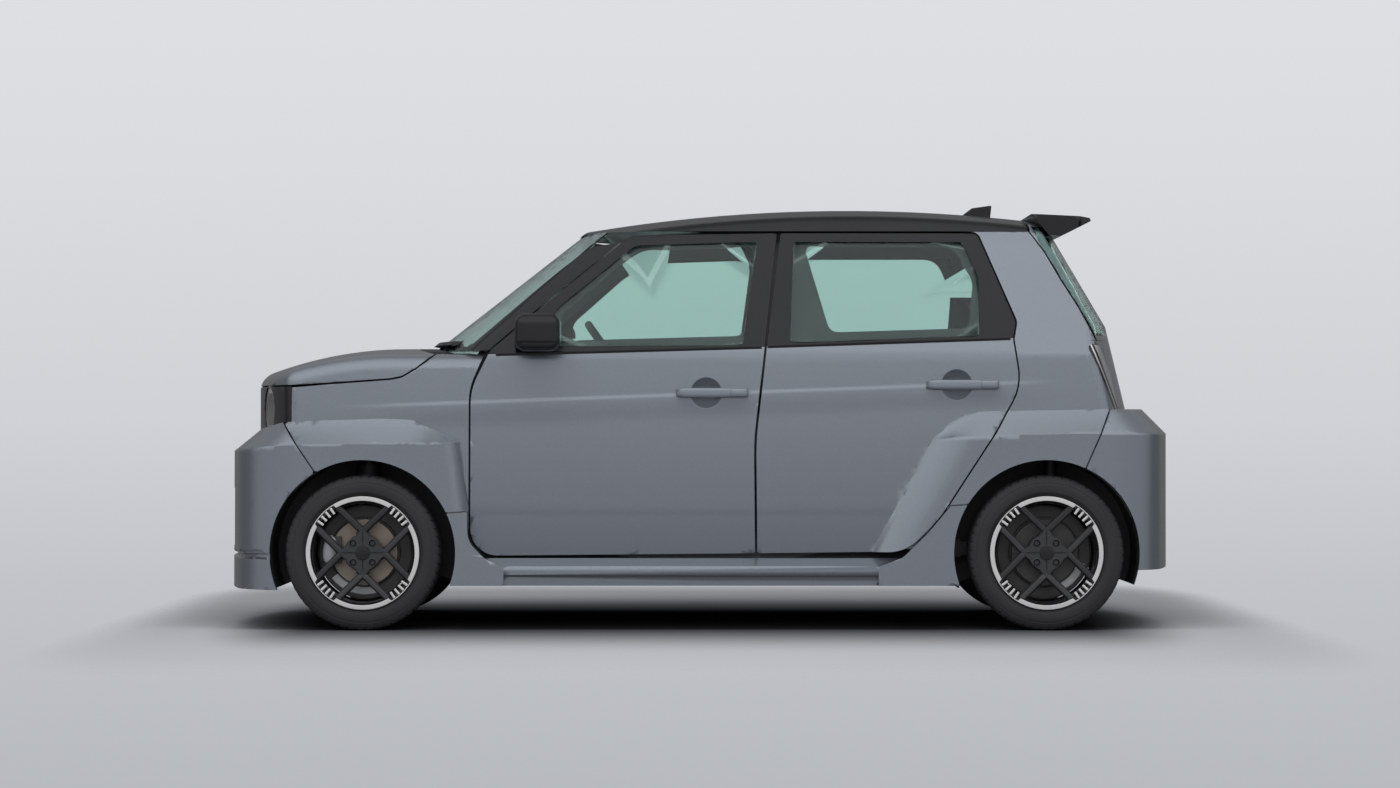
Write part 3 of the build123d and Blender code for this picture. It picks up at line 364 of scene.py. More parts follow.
# Planes along a flare's lines, as cuts: the normal of each line and where it lies
def flareCuts(end):
    look = flares[end]
    cuts = []
    for line in ("top", "low"):
        for (x0, z0), (x1, z1) in zip(look[line][:-1], look[line][1:]):
            cuts.append(((z1 - z0, 0, x0 - x1), [(z1 - z0) * x0 + (x0 - x1) * z0]))
    edgeX, edgeZ, slant = look["edge"]
    ramp = look["ramp"] * look["sign"]
    cuts.append(((1, 0, -slant), edgeX - slant * edgeZ + ramp * np.array(flareForm["rings"])))
    return cuts


# The side tucks in below the widest part, towards the sill
def tuckIn(z):
    low = np.maximum(0.455 - z, 0.0)
    return np.where(low < 0.06, low ** 2, 0.0036 + 0.12 * (low - 0.06)) * 0.85


# The belt line: its height at x = 0 and its slope along x
def beltAt(x, end):
    return belt[end][0] + belt[end][1] * x


# Cut a merged copy into small cells, so that its shading follows the form. Each cut: a direction and its places
def cells(joined, cuts):
    for direction, places in cuts:
        normal = Vector(direction)
        for place in places:
            whole = joined.verts[:] + joined.edges[:] + joined.faces[:]
            bmesh.ops.bisect_plane(joined, geom=whole, dist=0.00002, plane_no=normal,
                                   plane_co=normal * (float(place) / normal.length_squared))


# Evenly spaced places between the ends of values, on whole multiples of size
def steps(values, size):
    low, high = float(values.min()), float(values.max())
    return np.arange(math.ceil(low / size) * size, high, size)


# A mesh's corners ("co") or the middles of its faces ("center"), as arrays of x, y and z
def readOut(rows, name):
    values = np.empty(len(rows) * 3, np.float32)
    rows.foreach_get(name, values)
    return values.reshape(-1, 3).T.astype(float)


def putBack(mesh, x, y, z):
    mesh.vertices.foreach_set("co", np.stack([x, y, z], axis=-1).astype(np.float32).ravel())
    mesh.update()


def setKinds(mesh, kinds):
    mesh.polygons.foreach_set("material_index", kinds.astype(np.int32))


# The mesh less its marked faces
def cutAway(mesh, gone):
    joined = bmesh.new()
    joined.from_mesh(mesh)
    joined.faces.ensure_lookup_table()
    bmesh.ops.delete(joined, geom=[joined.faces[index] for index in np.flatnonzero(gone).tolist()], context="FACES")
    joined.to_mesh(mesh)
    joined.free()


# A merged, smooth-shaded copy of a CAD node that stands for it
def skinCopy(name, node, lookNames, angle=32.0, size=(), shape=None, extra=()):
    mesh = bpy.data.meshes.new(name)
    solid = frame["nodes"][node].data
    corners = readOut(solid.vertices, "co")
    joined = bmesh.new()
    joined.from_mesh(solid)
    bmesh.ops.remove_doubles(joined, verts=joined.verts, dist=0.00002)
    cuts = [(np.eye(3)[axis].tolist(), steps(corners[axis], cell)) for axis, cell in enumerate(size) if cell]
    cells(joined, cuts + list(extra))
    bmesh.ops.remove_doubles(joined, verts=joined.verts, dist=0.00002)
    for look in lookNames:
        mesh.materials.append(looks[look])
    joined.to_mesh(mesh)
    joined.free()
    if shape:
        shape(mesh)
    smoothMesh(mesh, angle)
    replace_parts(stand(name, mesh, bodyOf[node]), node)


# A fixed flare: its outer face follows the same rise
def dressFlare(mesh):
    x, y, z = readOut(mesh.vertices, "co")
    rise = np.where(x > 0, flareRise(x, z, "front"), flareRise(x, z, "rear"))
    outer = np.abs(y) > skinY(x, z) + 0.0015
    y = np.where(outer, np.sign(y) * (skinY(x, z) + np.maximum(rise, 0.0010)), y)
    putBack(mesh, x, y, z)


# Door handles: a dished bowl, and a grip whose section runs from a foot to a lock end. handleCut is where the
# solid's plain handle is taken out of the door's copy
handleLook = {"front": 0.112, "rear": -0.157, "lock": -0.090, "high": 0.0175, "out": 0.0325, "inside": 0.0135,
              "dish": 0.0185, "bowlRim": 0.0594}
handleCut = {"deep": 0.0175, "bowlOut": 0.006, "gripOut": 0.0045, "from": -0.158, "to": 0.113, "high": 0.018}


# Raise the crease and the shoulder on the outer skin; above the belt the door's frame turns black
def dressSide(end=None, bowl=None):
    def shape(mesh):
        x, y, z = readOut(mesh.vertices, "co")
        side = skinY(x, z)
        grip = (np.abs(y) > side + 0.0013) & (z > 0.84)
        skin = (np.abs(y) > side - 0.0013) & ~grip
        rise = flareRise(x, z, "rear") if end == "rear" else 0.0
        tuck = tuckIn(z) if end else 0.0
        lifted = side + creaseLift(x, z) + rise - tuck * (1 - smoothStep(rise, 0.0, 0.02))
        if end:
            paint = skin & (z < beltAt(x, end) + 0.0005)
            lifted = np.where(paint & (z > sideShape["shoulderZ"] - 0.021), paintY(x, z), lifted)
        follows = (1 - smoothStep(side - np.abs(y), 0.015, 0.045)) * tuck * ~grip
        putBack(mesh, x, np.where(skin, np.sign(y) * lifted, y - np.sign(y) * follows), z)
        x, y, z = readOut(mesh.polygons, "center")
        if end:
            setKinds(mesh, z > beltAt(x, end))
        if bowl:
            look, cut = handleLook, handleCut
            across, up, out = x - bowl[0], z - bowl[1], np.abs(y) - bowl[2]
            inBowl = (np.hypot(across, up) < look["bowlRim"]) & (out > -cut["deep"]) & (out < cut["bowlOut"])
            onGrip = (across > cut["from"]) & (across < cut["to"]) & (np.abs(up) < cut["high"])
            cutAway(mesh, inBowl | (onGrip & (out > cut["gripOut"])))
    return shape


# Tail lamp: the node's faces in bands behind its front edge, a line from edgeTop to edgeFoot; distance behind
# that line picks black, chrome, black, clear silver, dark unit or silver again
tailLook = {"edgeTop": (-1.433, 1.067), "edgeFoot": (-1.549, 0.8024), "footZ": 0.806,
            "bands": ((0.007, 1), (0.0125, 2), (0.021, 1), (0.044, 3), (0.072, 4), (1.0, 3)),
            "cuts": (0.0, 0.007, 0.0125, 0.021, 0.044, 0.058, 0.072)}
tailTop, tailFoot = np.array(tailLook["edgeTop"]), np.array(tailLook["edgeFoot"])
tailLean = np.array([tailTop[1] - tailFoot[1], tailFoot[0] - tailTop[0]]) / np.linalg.norm(tailTop - tailFoot)
tailEdge = float(tailLean @ tailTop)


def dressTail(mesh):
    x, y, z = readOut(mesh.polygons, "center")
    reach, kinds = np.array(tailLook["bands"]).T
    behind = tailEdge - (x * tailLean[0] + z * tailLean[1])
    kind = kinds[np.searchsorted(reach, behind, side="right")]
    setKinds(mesh, np.where((z < tailLook["footZ"]) & (kind > 2), 1, kind))


tailCuts = [((tailLean[0], 0, tailLean[1]), [tailEdge - reach for reach in tailLook["cuts"]]),
            ((0, 0, 1), [tailLook["footZ"]])]

# Headlamp: a pale ring round a clear middle, by distance from the lamp's axis
lampLook = {"y": 0.470, "z": 0.815, "clear": 0.066}


def dressLamp(mesh):
    x, y, z = readOut(mesh.polygons, "center")
    setKinds(mesh, np.hypot(np.abs(y) - lampLook["y"], z - lampLook["z"]) > lampLook["clear"])


slotOf = {row["node"]: row["material_slot"] for row in frame["record"]["subparts"]}
bodyOf = {node: body for body, nodes in frame["record"]["behaviour"]["bodies"].items() for node in nodes}
lookOf = {"paint": "paint", "roof_paint": "black", "gloss_black": "gloss", "dark_plastic": "plastic",
          "shell_paint": "shell", "window_glass": "window", "lamp_glass": "lens", "tail_glass": "tailLens",
          "tyre": "rubber", "alloy": "alloy", "steel": "steel", "iron": "iron", "motor": "motor",
          "seat_fabric": "fabric", "cabin_plastic": "cabin", "rim_cover": "leather"}
keptFlat = ("floor", "front_structure", "powertrain", "grille", "rear_axle", "front_suspension")
corners = [f"{end}_{side}" for end in ("front", "rear") for side in ("left", "right")]
madeAnew = [f"{kind}_{corner}" for kind in ("tyre", "wheel") for corner in corners] + ["front_seats", "rear_bench"]
bowls = {"front": (-0.023, 0.876, 0.7304), "rear": (-0.949, 0.906, 0.719)}
creaseTilt = (crease["slope"] * -1, 0, 1)
creaseRows = crease["atZero"] + np.array([-0.085, -0.070, -0.055, -0.042, -0.030, -0.020, -0.0125, -0.0085, -0.0055,
                                          -0.0025, 0.0, 0.0025, 0.0055, 0.0085, 0.0125, 0.020])
cellSize = {"bonnet": (0.045, 0.045, 0.06), "roof": (0.06, 0.06, 0.06), "tailgate": (0.045, 0.045, 0.045),
            "side_skirts": (0.05, 0.02, 0.02), "spoiler": (0.03, 0.04, 0.03), "antenna_fin": (0.01, 0.004, 0.01)}
cellSize |= {node: (0.03, 0.05, 0.02) for node in ("front_bumper", "rear_bumper")}
cellSize |= {node: (0.03, 0.03, 0.03) for node in ("cowl", "nose_panel", "front_pillars")}
cellSize |= {"windscreen": (0.04, 0.04, 0.04), "rear_glass": (0.05, 0.05, 0.05)}
cellSize |= {node: (0.022, 0.022, 0.022) for node in ("door_mirror_left", "door_mirror_right")}
for node, item in frame["nodes"].items():
    look = lookOf[slotOf[node]]
    item.data.materials.clear()
    item.data.materials.append(looks[look])
    if node in keptFlat or node in madeAnew:
        continue
    if node.startswith(("door_front", "door_rear")):
        end = node.split("_")[1]
        tilt = (-belt[end][1], 0, 1)
        beltRows = belt[end][0] + np.array([-0.030, -0.022, -0.015, -0.010, -0.006, -0.003, 0.0, 0.0006])
        extra = [(creaseTilt, creaseRows), (tilt, beltRows)]
        extra += flareCuts("rear") if end == "rear" else []
        how = (look, "black"), 30.0, (0.025, 0, 0.025), dressSide(end, bowls[end]), extra
    elif node == "tail_lamps":
        how = (look, "gloss", "machined", "clear", "unit"), 32.0, (0.02, 0.02, 0.02), dressTail, tailCuts
    elif node == "headlamps":
        how = (look, "glow"), 32.0, (0.012, 0.012, 0.012), dressLamp
    elif node == "arch_flares":
        how = (look,), 24.0, (0.025, 0, 0.025), dressFlare, flareCuts("front") + flareCuts("rear")
    elif node in ("wings", "quarters"):
        how = (look,), 30.0, (0.025, 0.04, 0.025), dressSide(), [(creaseTilt, creaseRows)]
    else:
        how = (look,), 32.0, cellSize.get(node, ())
    skinCopy("skin_" + node, node, *how)
print("CAD pieces dressed")


# Handle bowl: depth = dish * (1 - r^2.4) under the door's skin, r from 0 at its middle to 1 at its rim
def bowlGrid(bowlX, bowlZ, side):
    ring = np.concatenate([[0.0], np.linspace(0.08, 0.90, 14), [0.93, 0.955, 0.975, 0.99, 1.0, 1.02]])
    turn = np.linspace(0, 2 * math.pi, 72, endpoint=False)
    r, a = np.meshgrid(ring, turn, indexing="ij")
    x = bowlX + handleLook["bowlRim"] * r * np.cos(a)
    z = bowlZ + handleLook["bowlRim"] * r * np.sin(a)
    deep = handleLook["dish"] * (1 - np.clip(r / 0.97, 0, 1) ** 2.4)
    y = skinY(x, z) + creaseLift(x, z) - deep - 0.0001 - 0.0006 * (r > 1.01)
    return surface(x, side * y, z, roundColumns=True, flip=side > 0)


# Grip: superellipse sections along x; outer = how far they stand out, and inner = how far they are clear of the
# skin between the two solid feet
def gripGrid(bowlX, bowlZ, side):
    look = handleLook
    rear, lock, front = look["rear"], look["lock"], look["front"]
    bend = np.cos(np.linspace(0, math.pi / 2, 6))
    x = np.concatenate([rear + 0.004 * (1 - bend), np.linspace(rear + 0.006, lock - 0.003, 8),
                        lock + np.array([-0.002, -0.0012, -0.0006, 0.0, 0.0006, 0.0012, 0.002]),
                        np.linspace(lock + 0.004, front - 0.007, 34), front - 0.006 * bend])
    t = np.linspace(0, 2 * math.pi, 40, endpoint=False)
    xs, ts = np.meshgrid(x, t, indexing="ij")
    ends = np.clip(np.minimum((xs - rear) / 0.012, (front - xs) / 0.030), 0, 1)
    ends = ends * (2 - ends)
    tips = np.clip(np.minimum((xs - rear) / 0.006, (front - xs) / 0.010), 0, 1)
    high = look["high"] * (0.55 + 0.45 * tips ** 0.5)
    outer = 0.006 + (look["out"] - 0.006) * ends ** 0.6 - 0.0018 * (np.abs(xs - lock) < 0.0009)
    solid = np.maximum(1 - smoothStep(xs, lock, lock + 0.012), smoothStep(xs, 0.078, 0.094))
    inner = look["inside"] * (1 - solid) - 0.006 * solid
    middle, half = (outer + inner) / 2, (outer - inner) / 2
    up = high * rounded(np.sin(ts), 0.55)
    out = middle + half * rounded(np.cos(ts), 0.6)
    base = skinY(bowlX + xs, bowlZ + up) + creaseLift(bowlX + xs, bowlZ)
    return surface(bowlX + xs, side * (base + out), bowlZ + 0.001 + up, roundColumns=True, flip=side < 0)


# Lock cover: a low turned disc on the grip's rear end
def lockGrid(bowlX, bowlZ, side):
    ring = np.array([0.0, 0.6, 0.9, 1.0, 1.0])
    rise = np.array([0.0012, 0.0012, 0.0010, 0.0004, -0.002])
    turn = np.linspace(0, 2 * math.pi, 32, endpoint=False)
    r, a = np.meshgrid(ring * 0.0058, turn, indexing="ij")
    x, z = bowlX - 0.124 + r * np.cos(a), bowlZ + 0.001 + r * np.sin(a)
    y = skinY(bowlX - 0.124 + 0 * x, bowlZ + 0 * z) + handleLook["out"] + rise[:, None]
    return surface(x, side * y, z, roundColumns=True, flip=side > 0)


# The belt trim: a rounded strip along the foot of each window
def stripGrid(end, side, fromX, toX):
    x = np.linspace(fromX, toX, 60)[:, None]
    section = np.array([(-0.0075, -0.004), (-0.0075, 0.0015), (-0.0055, 0.0032), (0.0, 0.0042), (0.0055, 0.0032),
                        (0.0075, 0.0012), (0.0080, -0.014)])
    up, out = section.T[:, None, :]
    z = beltAt(x, end) + up
    y = paintY(x, beltAt(x, end) - 0.004) + out
    return surface(x, side * y, z, flip=(side > 0) == (toX > fromX))


# Inner trim round a window, set in the tunnel of the door: from the window's edge in to the sight opening
sightRows = {"front": [(0.519, 1.161), (0.304, 1.348), (0.203, 1.405), (-0.162, 1.417), (-0.203, 1.395),
                       (-0.162, 1.088), (0.510, 1.070)],
             "rear": [(-0.390, 1.421), (-0.925, 1.421), (-0.964, 1.395), (-1.010, 1.289), (-1.010, 1.243),
                      (-1.002, 1.117), (-0.483, 1.101)]}
windowRows = {"front": [(0.575, 1.172), (0.262, 1.437), (0.200, 1.443), (-0.213, 1.443), (-0.217, 1.425),
                        (-0.155, 1.055), (0.583, 1.049)],
              "rear": [(-0.349, 1.443), (-0.980, 1.443), (-0.985, 1.425), (-1.037, 1.315), (-1.039, 1.290),
                       (-1.037, 1.089), (-0.333, 1.063)]}


# Rounded closed outline through rows of x and z: each corner cut by an arc-like blend
def loop(rows, corner, count=12):
    rows = np.array(rows)
    before, after = np.roll(rows, 1, axis=0), np.roll(rows, -1, axis=0)
    t = np.linspace(0, 1, count)[None, :, None]

    def towards(other):
        gap = other - rows
        length = np.linalg.norm(gap, axis=1, keepdims=True)
        return rows + gap * np.minimum(corner / length, 0.45)
    start, stop = towards(before)[:, None, :], towards(after)[:, None, :]
    return ((1 - t) ** 2 * start + 2 * t * (1 - t) * rows[:, None, :] + t ** 2 * stop).reshape(-1, 2)


# Window trim: from the window's edge to the sight opening by share, and in from the skin by depth
def trimGrid(end, side):
    outer, inner = loop(windowRows[end], 0.02), loop(sightRows[end], 0.035)
    share = np.array([0.0, 0.0, 0.92, 1.0, 1.0, 0.92, 0.0, 0.0])
    depth = np.array([0.058, 0.040, 0.038, 0.041, 0.055, 0.060, 0.062, 0.058])
    ring = outer[:, None, :] + (inner - outer)[:, None, :] * share[None, :, None]
    x, z = ring[..., 0], ring[..., 1]
    y = skinY(x, np.maximum(z, 1.04)) - depth[None, :]
    return surface(x, side * y, z, roundRows=True, flip=side > 0)


for sideName, side in (("left", 1), ("right", -1)):
    for end in ("front", "rear"):
        bowlX, bowlZ, base = bowls[end]
        body = f"{end}_door_{sideName}"
        forms = (bowlGrid, "paint"), (gripGrid, "paint"), (lockGrid, "machined")
        grids = [(form(bowlX, bowlZ, side), look) for form, look in forms]
        makePiece(f"handle_{end}_{sideName}", grids, body, 40.0, ("paint", "machined"))
        ends = (0.755, -0.228) if end == "front" else (-0.250, -1.150)
        grids = [(stripGrid(end, side, *ends), "gloss")]
        makePiece(f"belt_trim_{end}_{sideName}", grids, body, 40.0, ("gloss",))
        grids = [(trimGrid(end, side), "cabin")]
        makePiece(f"window_trim_{end}_{sideName}", grids, body, 40.0, ("cabin",))
print("handles and trims made")


# Turned form: a profile of distance along the axle and radius, carried round the axle.
# x = centre + r cos a, y = side * distance, z = centre + r sin a
def turned(profile, centreX, side, steps, spread=None, centreZ=hubZ, arc=None):
    turn = np.linspace(*(arc or (0.0, 2 * math.pi)), steps, endpoint=arc is not None)
    along, radius = np.array(profile, float).T
    a, s = np.meshgrid(turn, np.arange(len(along)), indexing="ij")
    y, r = along[s], radius[s]
    if spread is not None:
        y, r = spread(a, y, r)
    return surface(centreX + r * np.cos(a), side * y, centreZ + r * np.sin(a), roundRows=arc is None, flip=side < 0)


tyreLook = {"middle": 0.677, "halfWidth": 0.0923, "radius": 0.2858, "bead": 0.2125, "steps": 432, "pitches": 54,
            "grooves": (0.0, 0.034, -0.034),
            "wall": [(0.0150, -0.020), (0.0125, -0.0006), (0.0100, 0.0015), (0.0065, 0.0075), (0.0040, 0.0090),
                     (0.0036, 0.0105), (0.0016, 0.0120), (0.0004, 0.0190), (0, 0.0270), (0.0004, 0.0350),
                     (0.0016, 0.0430), (0.0030, 0.0460), (0.0022, 0.0475), (0.0050, 0.0560), (0.0085, 0.0640)],
            "shoulder": [(0.0130, 0.0050), (0.0180, 0.0022), (0.0240, 0.0009)]}
wheelLook = {"face": 0.7652, "ringOut": 0.2086, "ringIn": 0.1925, "ringThin": 0.2050, "bars": 4, "barStep": 6.2,
             "barWide": 0.0085, "barIn": 0.1765, "barOut": 0.2035}


# The tread: grooves round the tyre and slanted cuts in from the shoulders, as a drop in radius
def treadDrop(a, y, r):
    across = y - tyreLook["middle"]
    crown = np.clip((r - 0.262) / 0.018, 0.0, 1.0)
    drop = np.zeros_like(r)
    for place in tyreLook["grooves"]:
        drop = np.maximum(drop, 0.0062 * (np.abs(across - place) < 0.0042))
    turn = a * tyreLook["pitches"] / (2 * math.pi)
    cut = np.mod(turn + np.abs(across) * 11.0, 1.0)
    outer = np.abs(across) > 0.040
    drop = np.maximum(drop, 0.0042 * (outer & (cut < 0.17)))
    inner = np.abs(across) < 0.030
    cutIn = np.mod(turn - across * 14.0, 1.0)
    drop = np.maximum(drop, 0.0035 * (inner & (cutIn < 0.10)))
    return y, r - drop * crown


# Half the tyre's section from bead to crown, mirrored to the other half; the crown falls off by its place squared
def tyreProfile():
    middle, half, top, bead = (tyreLook[name] for name in ("middle", "halfWidth", "radius", "bead"))
    left = [(half - inward, bead + up) for inward, up in tyreLook["wall"]]
    left += [(half - inward, top - down) for inward, down in tyreLook["shoulder"]]
    edge = half - 0.0240
    for place in (0.058, 0.0500, 0.0405, 0.0395, 0.0384, 0.0380, 0.0300, 0.0296, 0.0200, 0.0100, 0.0044, 0.0040):
        left.append((place, top - 0.0009 * (place / edge) ** 2))
    return [(middle + y, r) for y, r in left] + [(middle - y, r) for y, r in reversed(left)]


# Machined ring: its inner edge steps outwards on the diagonals, where the short bars stand
def wheelRing(side, centreX):
    angle = np.linspace(0.0, 2 * math.pi, 480, endpoint=False)[:, None]
    fold = np.abs(np.mod(np.degrees(angle), 90.0) - 45.0)
    inner = wheelLook["ringThin"] + (wheelLook["ringIn"] - wheelLook["ringThin"]) * smoothStep(fold, 13.5, 15.0)
    share = np.array([0.0, 0.0, 0.06, 0.5, 0.94, 1.0, 1.0])
    lift = np.array([-0.0015, 0.0002, 0.0008, 0.0009, 0.0008, 0.0002, -0.0015])
    r = inner + (wheelLook["ringOut"] - inner) * share
    y = side * (wheelLook["face"] + lift)
    return surface(centreX + r * np.cos(angle), y, hubZ + r * np.sin(angle), roundRows=True, flip=side > 0)


# A bar lying on the wheel's face: s along it, t round its section
def faceBar(centreX, side, angle, rIn, rOut, wide, base, lift):
    s = np.array([0.0, 0.02, 0.98, 1.0])[:, None]
    w = np.array([-1.0, -1.0, -0.8, 0.0, 0.8, 1.0, 1.0]) * wide / 2
    up = np.array([-0.0015, 0.55, 0.9, 1.0, 0.9, 0.55, -0.0015]) * lift
    ends = np.array([0.0, 1.0, 1.0, 0.0])[:, None]
    r = rIn + (rOut - rIn) * s
    y = base + np.where(ends > 0, up, -0.001)
    x, z = r * math.cos(angle) - w * math.sin(angle), r * math.sin(angle) + w * math.cos(angle)
    return surface(centreX + x, side * y, hubZ + z, flip=side > 0)


# One leg of a spoke pair: a bevelled section carried from the hub plate out to the rim, mirrored by hand = -1
legLook = {"start": (0.062, -0.0165), "end": (0.1735, 0.0985), "face": 0.7555, "rise": 0.0050,
           "section": [(-0.0138, -0.026), (-0.0138, -0.0085), (-0.0130, -0.0060), (-0.0088, -0.0008),
                       (-0.0078, -0.0001), (0.0060, 0.0), (0.0074, -0.0007), (0.0124, -0.0068),
                       (0.0132, -0.0100), (0.0132, -0.026)]}


def legGrid(centreX, side, quarter, hand):
    s = np.concatenate([np.linspace(0, 0.9, 19), [0.93, 0.96, 0.98, 1.0]])[:, None]
    (x0, z0), (x1, z1) = legLook["start"], legLook["end"]
    length = math.hypot(x1 - x0, z1 - z0)
    alongX, alongZ = (x1 - x0) / length, (z1 - z0) / length
    w, h = np.array(legLook["section"]).T
    spread = 1.0 + 0.16 * smoothStep(s, 0.88, 1.0)
    top = legLook["face"] - 0.0035 * (1 - smoothStep(s, 0.08, 0.30)) + legLook["rise"] * smoothStep(s, 0.25, 0.95)
    x = x0 + (x1 - x0) * s - alongZ * w * spread
    z = hand * (z0 + (z1 - z0) * s + alongX * w * spread)
    y = top + h - 0.002 * smoothStep(s, 0.96, 1.0)
    turn = math.pi / 2 * quarter
    x, z = x * math.cos(turn) - z * math.sin(turn), x * math.sin(turn) + z * math.cos(turn)
    return surface(centreX + x, side * y, hubZ + z, flip=side * hand > 0)


# The hub plate: reach(a) = narrow on the diagonals, wide where a pair's legs meet; its face dips at the
# centre groove of each pair and at the four bolts
plateLook = {"middle": 0.0235, "narrow": 0.069, "wide": 0.0865, "groove": 0.0024, "grooveDeep": 0.004,
             "boltAt": 0.050, "boltHole": 0.0125, "deep": 0.013}


def plateGrid(centreX, side):
    look = plateLook
    a = np.linspace(0, 2 * math.pi, 320, endpoint=False)[:, None]
    share = np.concatenate([np.linspace(0.0, 0.93, 34), [0.955, 0.975, 0.99, 1.0, 1.0]])
    fold = np.mod(a + math.pi / 4, math.pi / 2) - math.pi / 4
    reach = look["narrow"] + (look["wide"] - look["narrow"]) * (1 - smoothStep(np.abs(fold), 0.03, 0.42))
    r = look["middle"] + (reach - look["middle"]) * share
    across, along = r * np.sin(fold), r * np.cos(fold)
    groove = 1 - smoothStep(np.abs(across), look["groove"] * 0.55, look["groove"])
    groove = groove * smoothStep(along, 0.028, 0.032)
    x, z = r * np.cos(a), r * np.sin(a)
    corner = look["boltAt"] / math.sqrt(2)
    fromBolt = np.hypot(np.abs(x) - corner, np.abs(z) - corner)
    hole = 1 - smoothStep(fromBolt, look["boltHole"] - 0.0022, look["boltHole"])
    rim = np.exp(-((fromBolt - look["boltHole"] - 0.0015) / 0.0016) ** 2)
    edge = smoothStep(share, 0.90, 1.0)
    dip = look["grooveDeep"] * groove + look["deep"] * hole - 0.0006 * rim + 0.005 * edge ** 2
    y = legLook["face"] - 0.0012 - dip
    y[:, -1] = legLook["face"] - 0.030
    return surface(centreX + x, side * y, hubZ + z, roundRows=True, flip=side < 0)


# Barrel with both flanges, and the brake disc with its hat behind the face
barrelProfile = [(0.5895, 0.182), (0.5895, 0.205), (0.597, 0.2065), (0.5985, 0.1905), (0.7560, 0.1905),
                 (0.7575, 0.2070), (0.7620, 0.2086), (0.7652, 0.2084), (0.7652, 0.1930), (0.7600, 0.1905),
                 (0.7540, 0.1845), (0.7440, 0.182), (0.5895, 0.182)]
discProfile = [(0.700, 0.0), (0.700, 0.060), (0.7000, 0.0655), (0.6760, 0.0690), (0.6735, 0.0700),
               (0.6735, 0.1215), (0.6715, 0.1225), (0.6530, 0.1225), (0.6520, 0.1215), (0.6520, 0.0300)]
nutProfile = [(0.735, 0.0088), (0.7465, 0.0088), (0.7480, 0.0080), (0.7484, 0.0052), (0.7462, 0.0046), (0.7462, 0.0)]
capProfile = [(0.7545, 0.0262), (0.7575, 0.0262), (0.7590, 0.0250), (0.7598, 0.0200), (0.7602, 0.0100), (0.7603, 0.0)]


def wheelGrids(centreX, side):
    grids = [(turned(barrelProfile[::-1], centreX, side, 192), "gloss"), (plateGrid(centreX, side), "spoke"),
             (turned(discProfile, centreX, side, 120), "disc" if centreX > 0 else "iron"),
             (wheelRing(side, centreX), "machined"), (turned(capProfile, centreX, side, 64), "gloss")]
    look, boltAt = wheelLook, plateLook["boltAt"]
    for quarter in range(4):
        grids += [(legGrid(centreX, side, quarter, hand), "spoke") for hand in (1, -1)]
        middle = math.radians(45 + 90 * quarter)
        boltX, boltZ = centreX + boltAt * math.cos(middle), hubZ + boltAt * math.sin(middle)
        grids.append((turned(nutProfile, boltX, side, 6, centreZ=boltZ), "steel"))
        for bar in range(look["bars"]):
            angle = middle + math.radians((bar - (look["bars"] - 1) / 2) * look["barStep"])
            form = faceBar(centreX, side, angle, look["barIn"], look["barOut"], look["barWide"],
                           look["face"] - 0.0002, 0.0009)
            grids.append((form, "machined"))
    return grids


# What shows between the spokes from behind: a dark shield, a pale arc of it, and at the front the caliper
shieldLook = {"front": {"arc": (252, 322), "body": "steered_"}, "rear": {"arc": (196, 246), "body": "body_shell"},
              "dark": [(0.6430, 0.030), (0.6430, 0.128), (0.6395, 0.132), (0.6395, 0.170), (0.6440, 0.1735),
                       (0.6440, 0.1745), (0.6375, 0.1745), (0.6375, 0.030)],
              "pale": [(0.6400, 0.1265), (0.6455, 0.1275), (0.6480, 0.131), (0.6480, 0.156), (0.6455, 0.1595),
                       (0.6400, 0.1605)]}


def shieldGrids(end, centreX, side):
    arc = tuple(math.radians(angle) for angle in shieldLook[end]["arc"])
    return [(turned(shieldLook["dark"], centreX, side, 120), "iron"),
            (turned(shieldLook["pale"], centreX, side, 60, arc=arc), "cast")]


# Caliper: rings of a rounded box, s from the inboard end to the outboard end, t round it; r and a are its
# reach and its angle about the axle
caliperLook = {"middle": 0.128, "half": 0.024, "angle": 3, "spread": 0.40, "inboard": 0.642, "outboard": 0.704,
               "power": 0.5, "lobes": 0.07}


def caliperGrid(centreX, side):
    look = caliperLook
    s = np.array([0.0, 0.02, 0.05, 0.10, 0.30, 0.32, 0.52, 0.54, 0.85, 0.93, 0.98, 1.0])[:, None]
    full = np.array([0.0, 0.55, 0.80, 0.92, 0.95, 0.86, 0.86, 1.0, 1.0, 0.93, 0.75, 0.0])[:, None]
    t = np.linspace(0, 2 * math.pi, 64, endpoint=False)
    lobes = 1.0 + look["lobes"] * np.cos(4 * t + 0.6)
    r = look["middle"] + look["half"] * full * rounded(np.cos(t), look["power"]) * lobes
    a = math.radians(look["angle"]) + look["spread"] * full * rounded(np.sin(t), look["power"]) * lobes
    y = side * (look["inboard"] + (look["outboard"] - look["inboard"]) * s)
    return surface(centreX + r * np.cos(a), y, hubZ + r * np.sin(a), roundColumns=True, flip=side < 0)


# Arch liner: a ribbed half barrel over the wheel with an inner wall
def linerGrid(centreX, side):
    rows = [(0.7225, 0.3435), (0.7180, 0.3480), (0.640, 0.3490), (0.634, 0.3460), (0.628, 0.3490), (0.540, 0.3490),
            (0.534, 0.3460), (0.528, 0.3490), (0.440, 0.3490), (0.434, 0.3440), (0.433, 0.230)]
    return turned(rows, centreX, -side, 96, arc=(math.radians(-22), math.radians(200)))


